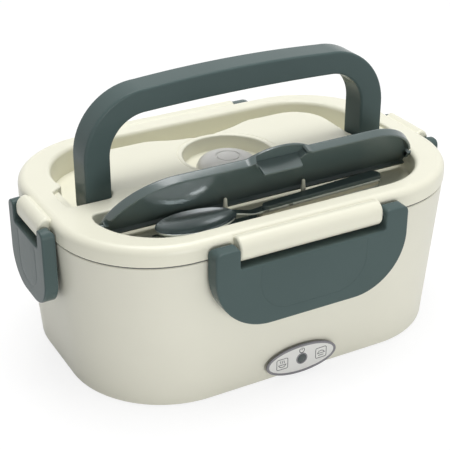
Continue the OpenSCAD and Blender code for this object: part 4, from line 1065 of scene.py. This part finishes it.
def gripShell(g):
    # a bar from a narrow neck to a broader round end, along the cutlery's line
    x0, x1 = g["startX"] + g["startHalf"], g["endX"] - g["endHalf"]
    start = arcOf((x0, middleY(x0)), g["startHalf"], 90, 270, 12)
    end = arcOf((x1, middleY(x1)), g["endHalf"], -90, 90, 16)
    return slabOf(walkRound(np.concatenate([start, end]), 0.8), g["low"], g["high"], 0.2, 0.8)


addPiece("spoonBody", [spoonShell(spoon)], "spoon", finishes["steelTealReflection"], ["spoon"],
         sharp=60)
addPiece("spoonGrip", [gripShell(grip)], "spoon", finishes["slateGrip"], ["spoon_grip"])
print("cutlery made")

tray = {
    "rimA": 98.0, "rimB": 66.2, "rimR": 40.5, "wellA": 92.8, "wellB": 61.0, "wellR": 35.3,
    "lowZ": 23.8, "topZ": 74.0, "sheet": 0.8, "floorRound": 9.0,
}


def trayShell(t):
    # one closed profile: floor, round corner, wall, flat rim with a turned edge, and the same again inside
    r, sheet, low, top = t["floorRound"], t["sheet"], t["lowZ"], t["topZ"]
    falling, rising = quarterTurn(8)
    stations = [("well", r * f, low + r * g) for f, g in zip(falling, rising)]
    stations += [("well", 0, top - 3), ("well", -0.3, top - sheet - 0.3), ("well", -0.8, top - sheet),
                 ("rim", 0.7, top - sheet), ("rim", 0.6, top - 1.3), ("rim", 0, top - 1.3),
                 ("rim", 0, top - 0.5), ("rim", 0.15, top - 0.15), ("rim", 0.5, top), ("well", -1.2, top),
                 ("well", 0.2, top - 0.3), ("well", sheet, top - 1.2), ("well", sheet, top - 4)]
    r = r - sheet
    stations += [("well", sheet + r * g, low + sheet + r * f) for f, g in zip(falling, rising)]
    return loft(planRings(t, stations, side=8, front=10))


addPiece("foodTray", [trayShell(tray)], "tray", finishes["tray"], ["food_tray"], sharp=50)
print("tray made")

# which finish each of the frame's own solids takes
solidFinishes = {
    "heating_basin": "inner", "base_cover": "base", "base_screws": "screw", "rubber_feet": "rubber",
    "heating_plate": "aluminium", "ptc_heater": "heater", "heater_clamp": "screw", "clamp_screws": "screw",
    "thermostat": "phenolic", "thermal_fuse": "ceramic", "power_inlet": "black", "inlet_pins": "screw",
    "lead_wires": "wire", "lamp_board": "board", "board_screws": "screw", "indicator_led": "ceramic",
    "light_guide": "lamp", "lid_inner_plate": "inner", "lid_seal": "seal", "fork": "steelTealReflection",
    "fork_grip": "beige", "handle_pins": "screw", "long_latch_pins": "screw", "short_latch_pins": "screw",
    "outer_housing": "housing", "badge_panel": "panel", "badge_ring": "ring", "food_tray": "tray",
    "lid_shell": "lid", "steam_valve": "valve", "cutlery_cover": "slateGloss", "spoon": "steelTealReflection",
    "spoon_grip": "slateGrip", "carry_handle": "slate", "front_latch": "slate", "rear_latch": "slate",
    "left_latch": "slate", "right_latch": "slate",
}
for node, finishName in solidFinishes.items():
    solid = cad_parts[node]
    solid.data.materials.clear()
    solid.data.materials.append(finishes[finishName])
print("solids finished")

stage = {
    "floor": 0.92, "glow": 0.75, "glowStrength": 1.09, "floorHalf": 6,
    "sky": 0.27, "skyColour": (0.97, 0.985, 1.0, 1), "aim": (0, 0, 0.06),
    "lamps": {"overhead": {"power": 13.0, "size": 0.8, "place": (0.1, 0.12, 1.22)},
              "front": {"power": 6.2, "size": 0.5, "place": (0.0, -1.35, 0.24)}},
}
white = (1, 1, 1, 1)


def seenAsWhite(nodes, links):
    # 1 for camera, glossy and transmitted rays, which are to see plain white, and 0 for every other ray
    path = nodes.new("ShaderNodeLightPath")
    first, second = nodes.new("ShaderNodeMath"), nodes.new("ShaderNodeMath")
    first.operation = second.operation = "MAXIMUM"
    links.new(path.outputs["Is Camera Ray"], first.inputs[0])
    links.new(path.outputs["Is Glossy Ray"], first.inputs[1])
    links.new(first.outputs[0], second.inputs[0])
    links.new(path.outputs["Is Transmission Ray"], second.inputs[1])
    return second.outputs[0]


def addSky(s):
    # a dim cool background that lights the box, and plain white where it is seen
    world = bpy.data.worlds.new("studio")
    bpy.context.scene.world = world
    world.use_nodes = True
    nodes, links = world.node_tree.nodes, world.node_tree.links
    plain = nodes["Background"]
    plain.inputs["Color"].default_value = s["skyColour"]
    plain.inputs["Strength"].default_value = s["sky"]
    bright = nodes.new("ShaderNodeBackground")
    bright.inputs["Color"].default_value = white
    mix = nodes.new("ShaderNodeMixShader")
    links.new(seenAsWhite(nodes, links), mix.inputs["Fac"])
    links.new(plain.outputs[0], mix.inputs[1])
    links.new(bright.outputs[0], mix.inputs[2])
    links.new(mix.outputs[0], nodes["World Output"].inputs["Surface"])


def addFloor(s):
    # a pale matt floor that takes the shadow, blended with a white glow where it is seen
    mesh = bpy.data.meshes.new("studioFloor")
    corners = [(x, y, 0) for x, y in rectangle(s["floorHalf"], -s["floorHalf"], s["floorHalf"]).tolist()]
    mesh.from_pydata(corners, [], [(0, 1, 2, 3)])
    floor = bpy.data.objects.new("studioFloor", mesh)
    bpy.context.scene.collection.objects.link(floor)
    paint = bpy.data.materials.new("paleFloor")
    paint.use_nodes = True
    nodes, links = paint.node_tree.nodes, paint.node_tree.links
    nodes.remove(nodes["Principled BSDF"])
    dull = nodes.new("ShaderNodeBsdfDiffuse")
    dull.inputs["Color"].default_value = (s["floor"],) * 3 + (1,)
    glow = nodes.new("ShaderNodeEmission")
    glow.inputs["Color"].default_value = white
    glow.inputs["Strength"].default_value = s["glowStrength"]
    blend = nodes.new("ShaderNodeMixShader")
    share = nodes.new("ShaderNodeMath")
    share.operation = "MULTIPLY"
    share.inputs[1].default_value = s["glow"]
    links.new(seenAsWhite(nodes, links), share.inputs[0])
    links.new(share.outputs[0], blend.inputs["Fac"])
    links.new(dull.outputs[0], blend.inputs[1])
    links.new(glow.outputs[0], blend.inputs[2])
    links.new(blend.outputs[0], nodes["Material Output"].inputs["Surface"])
    mesh.materials.append(paint)


def addLamps(s):
    # square area lamps that point at the middle of the box
    for name, values in s["lamps"].items():
        data = bpy.data.lights.new(name, "AREA")
        data.energy, data.size = values["power"], values["size"]
        lamp = bpy.data.objects.new(name, data)
        lamp.location = values["place"]
        lamp.rotation_euler = (Vector(s["aim"]) - Vector(values["place"])).to_track_quat("-Z", "Y").to_euler()
        bpy.context.scene.collection.objects.link(lamp)


addSky(stage)
addFloor(stage)
addLamps(stage)
bpy.context.scene.view_settings.view_transform = "Standard"
print("stage made")
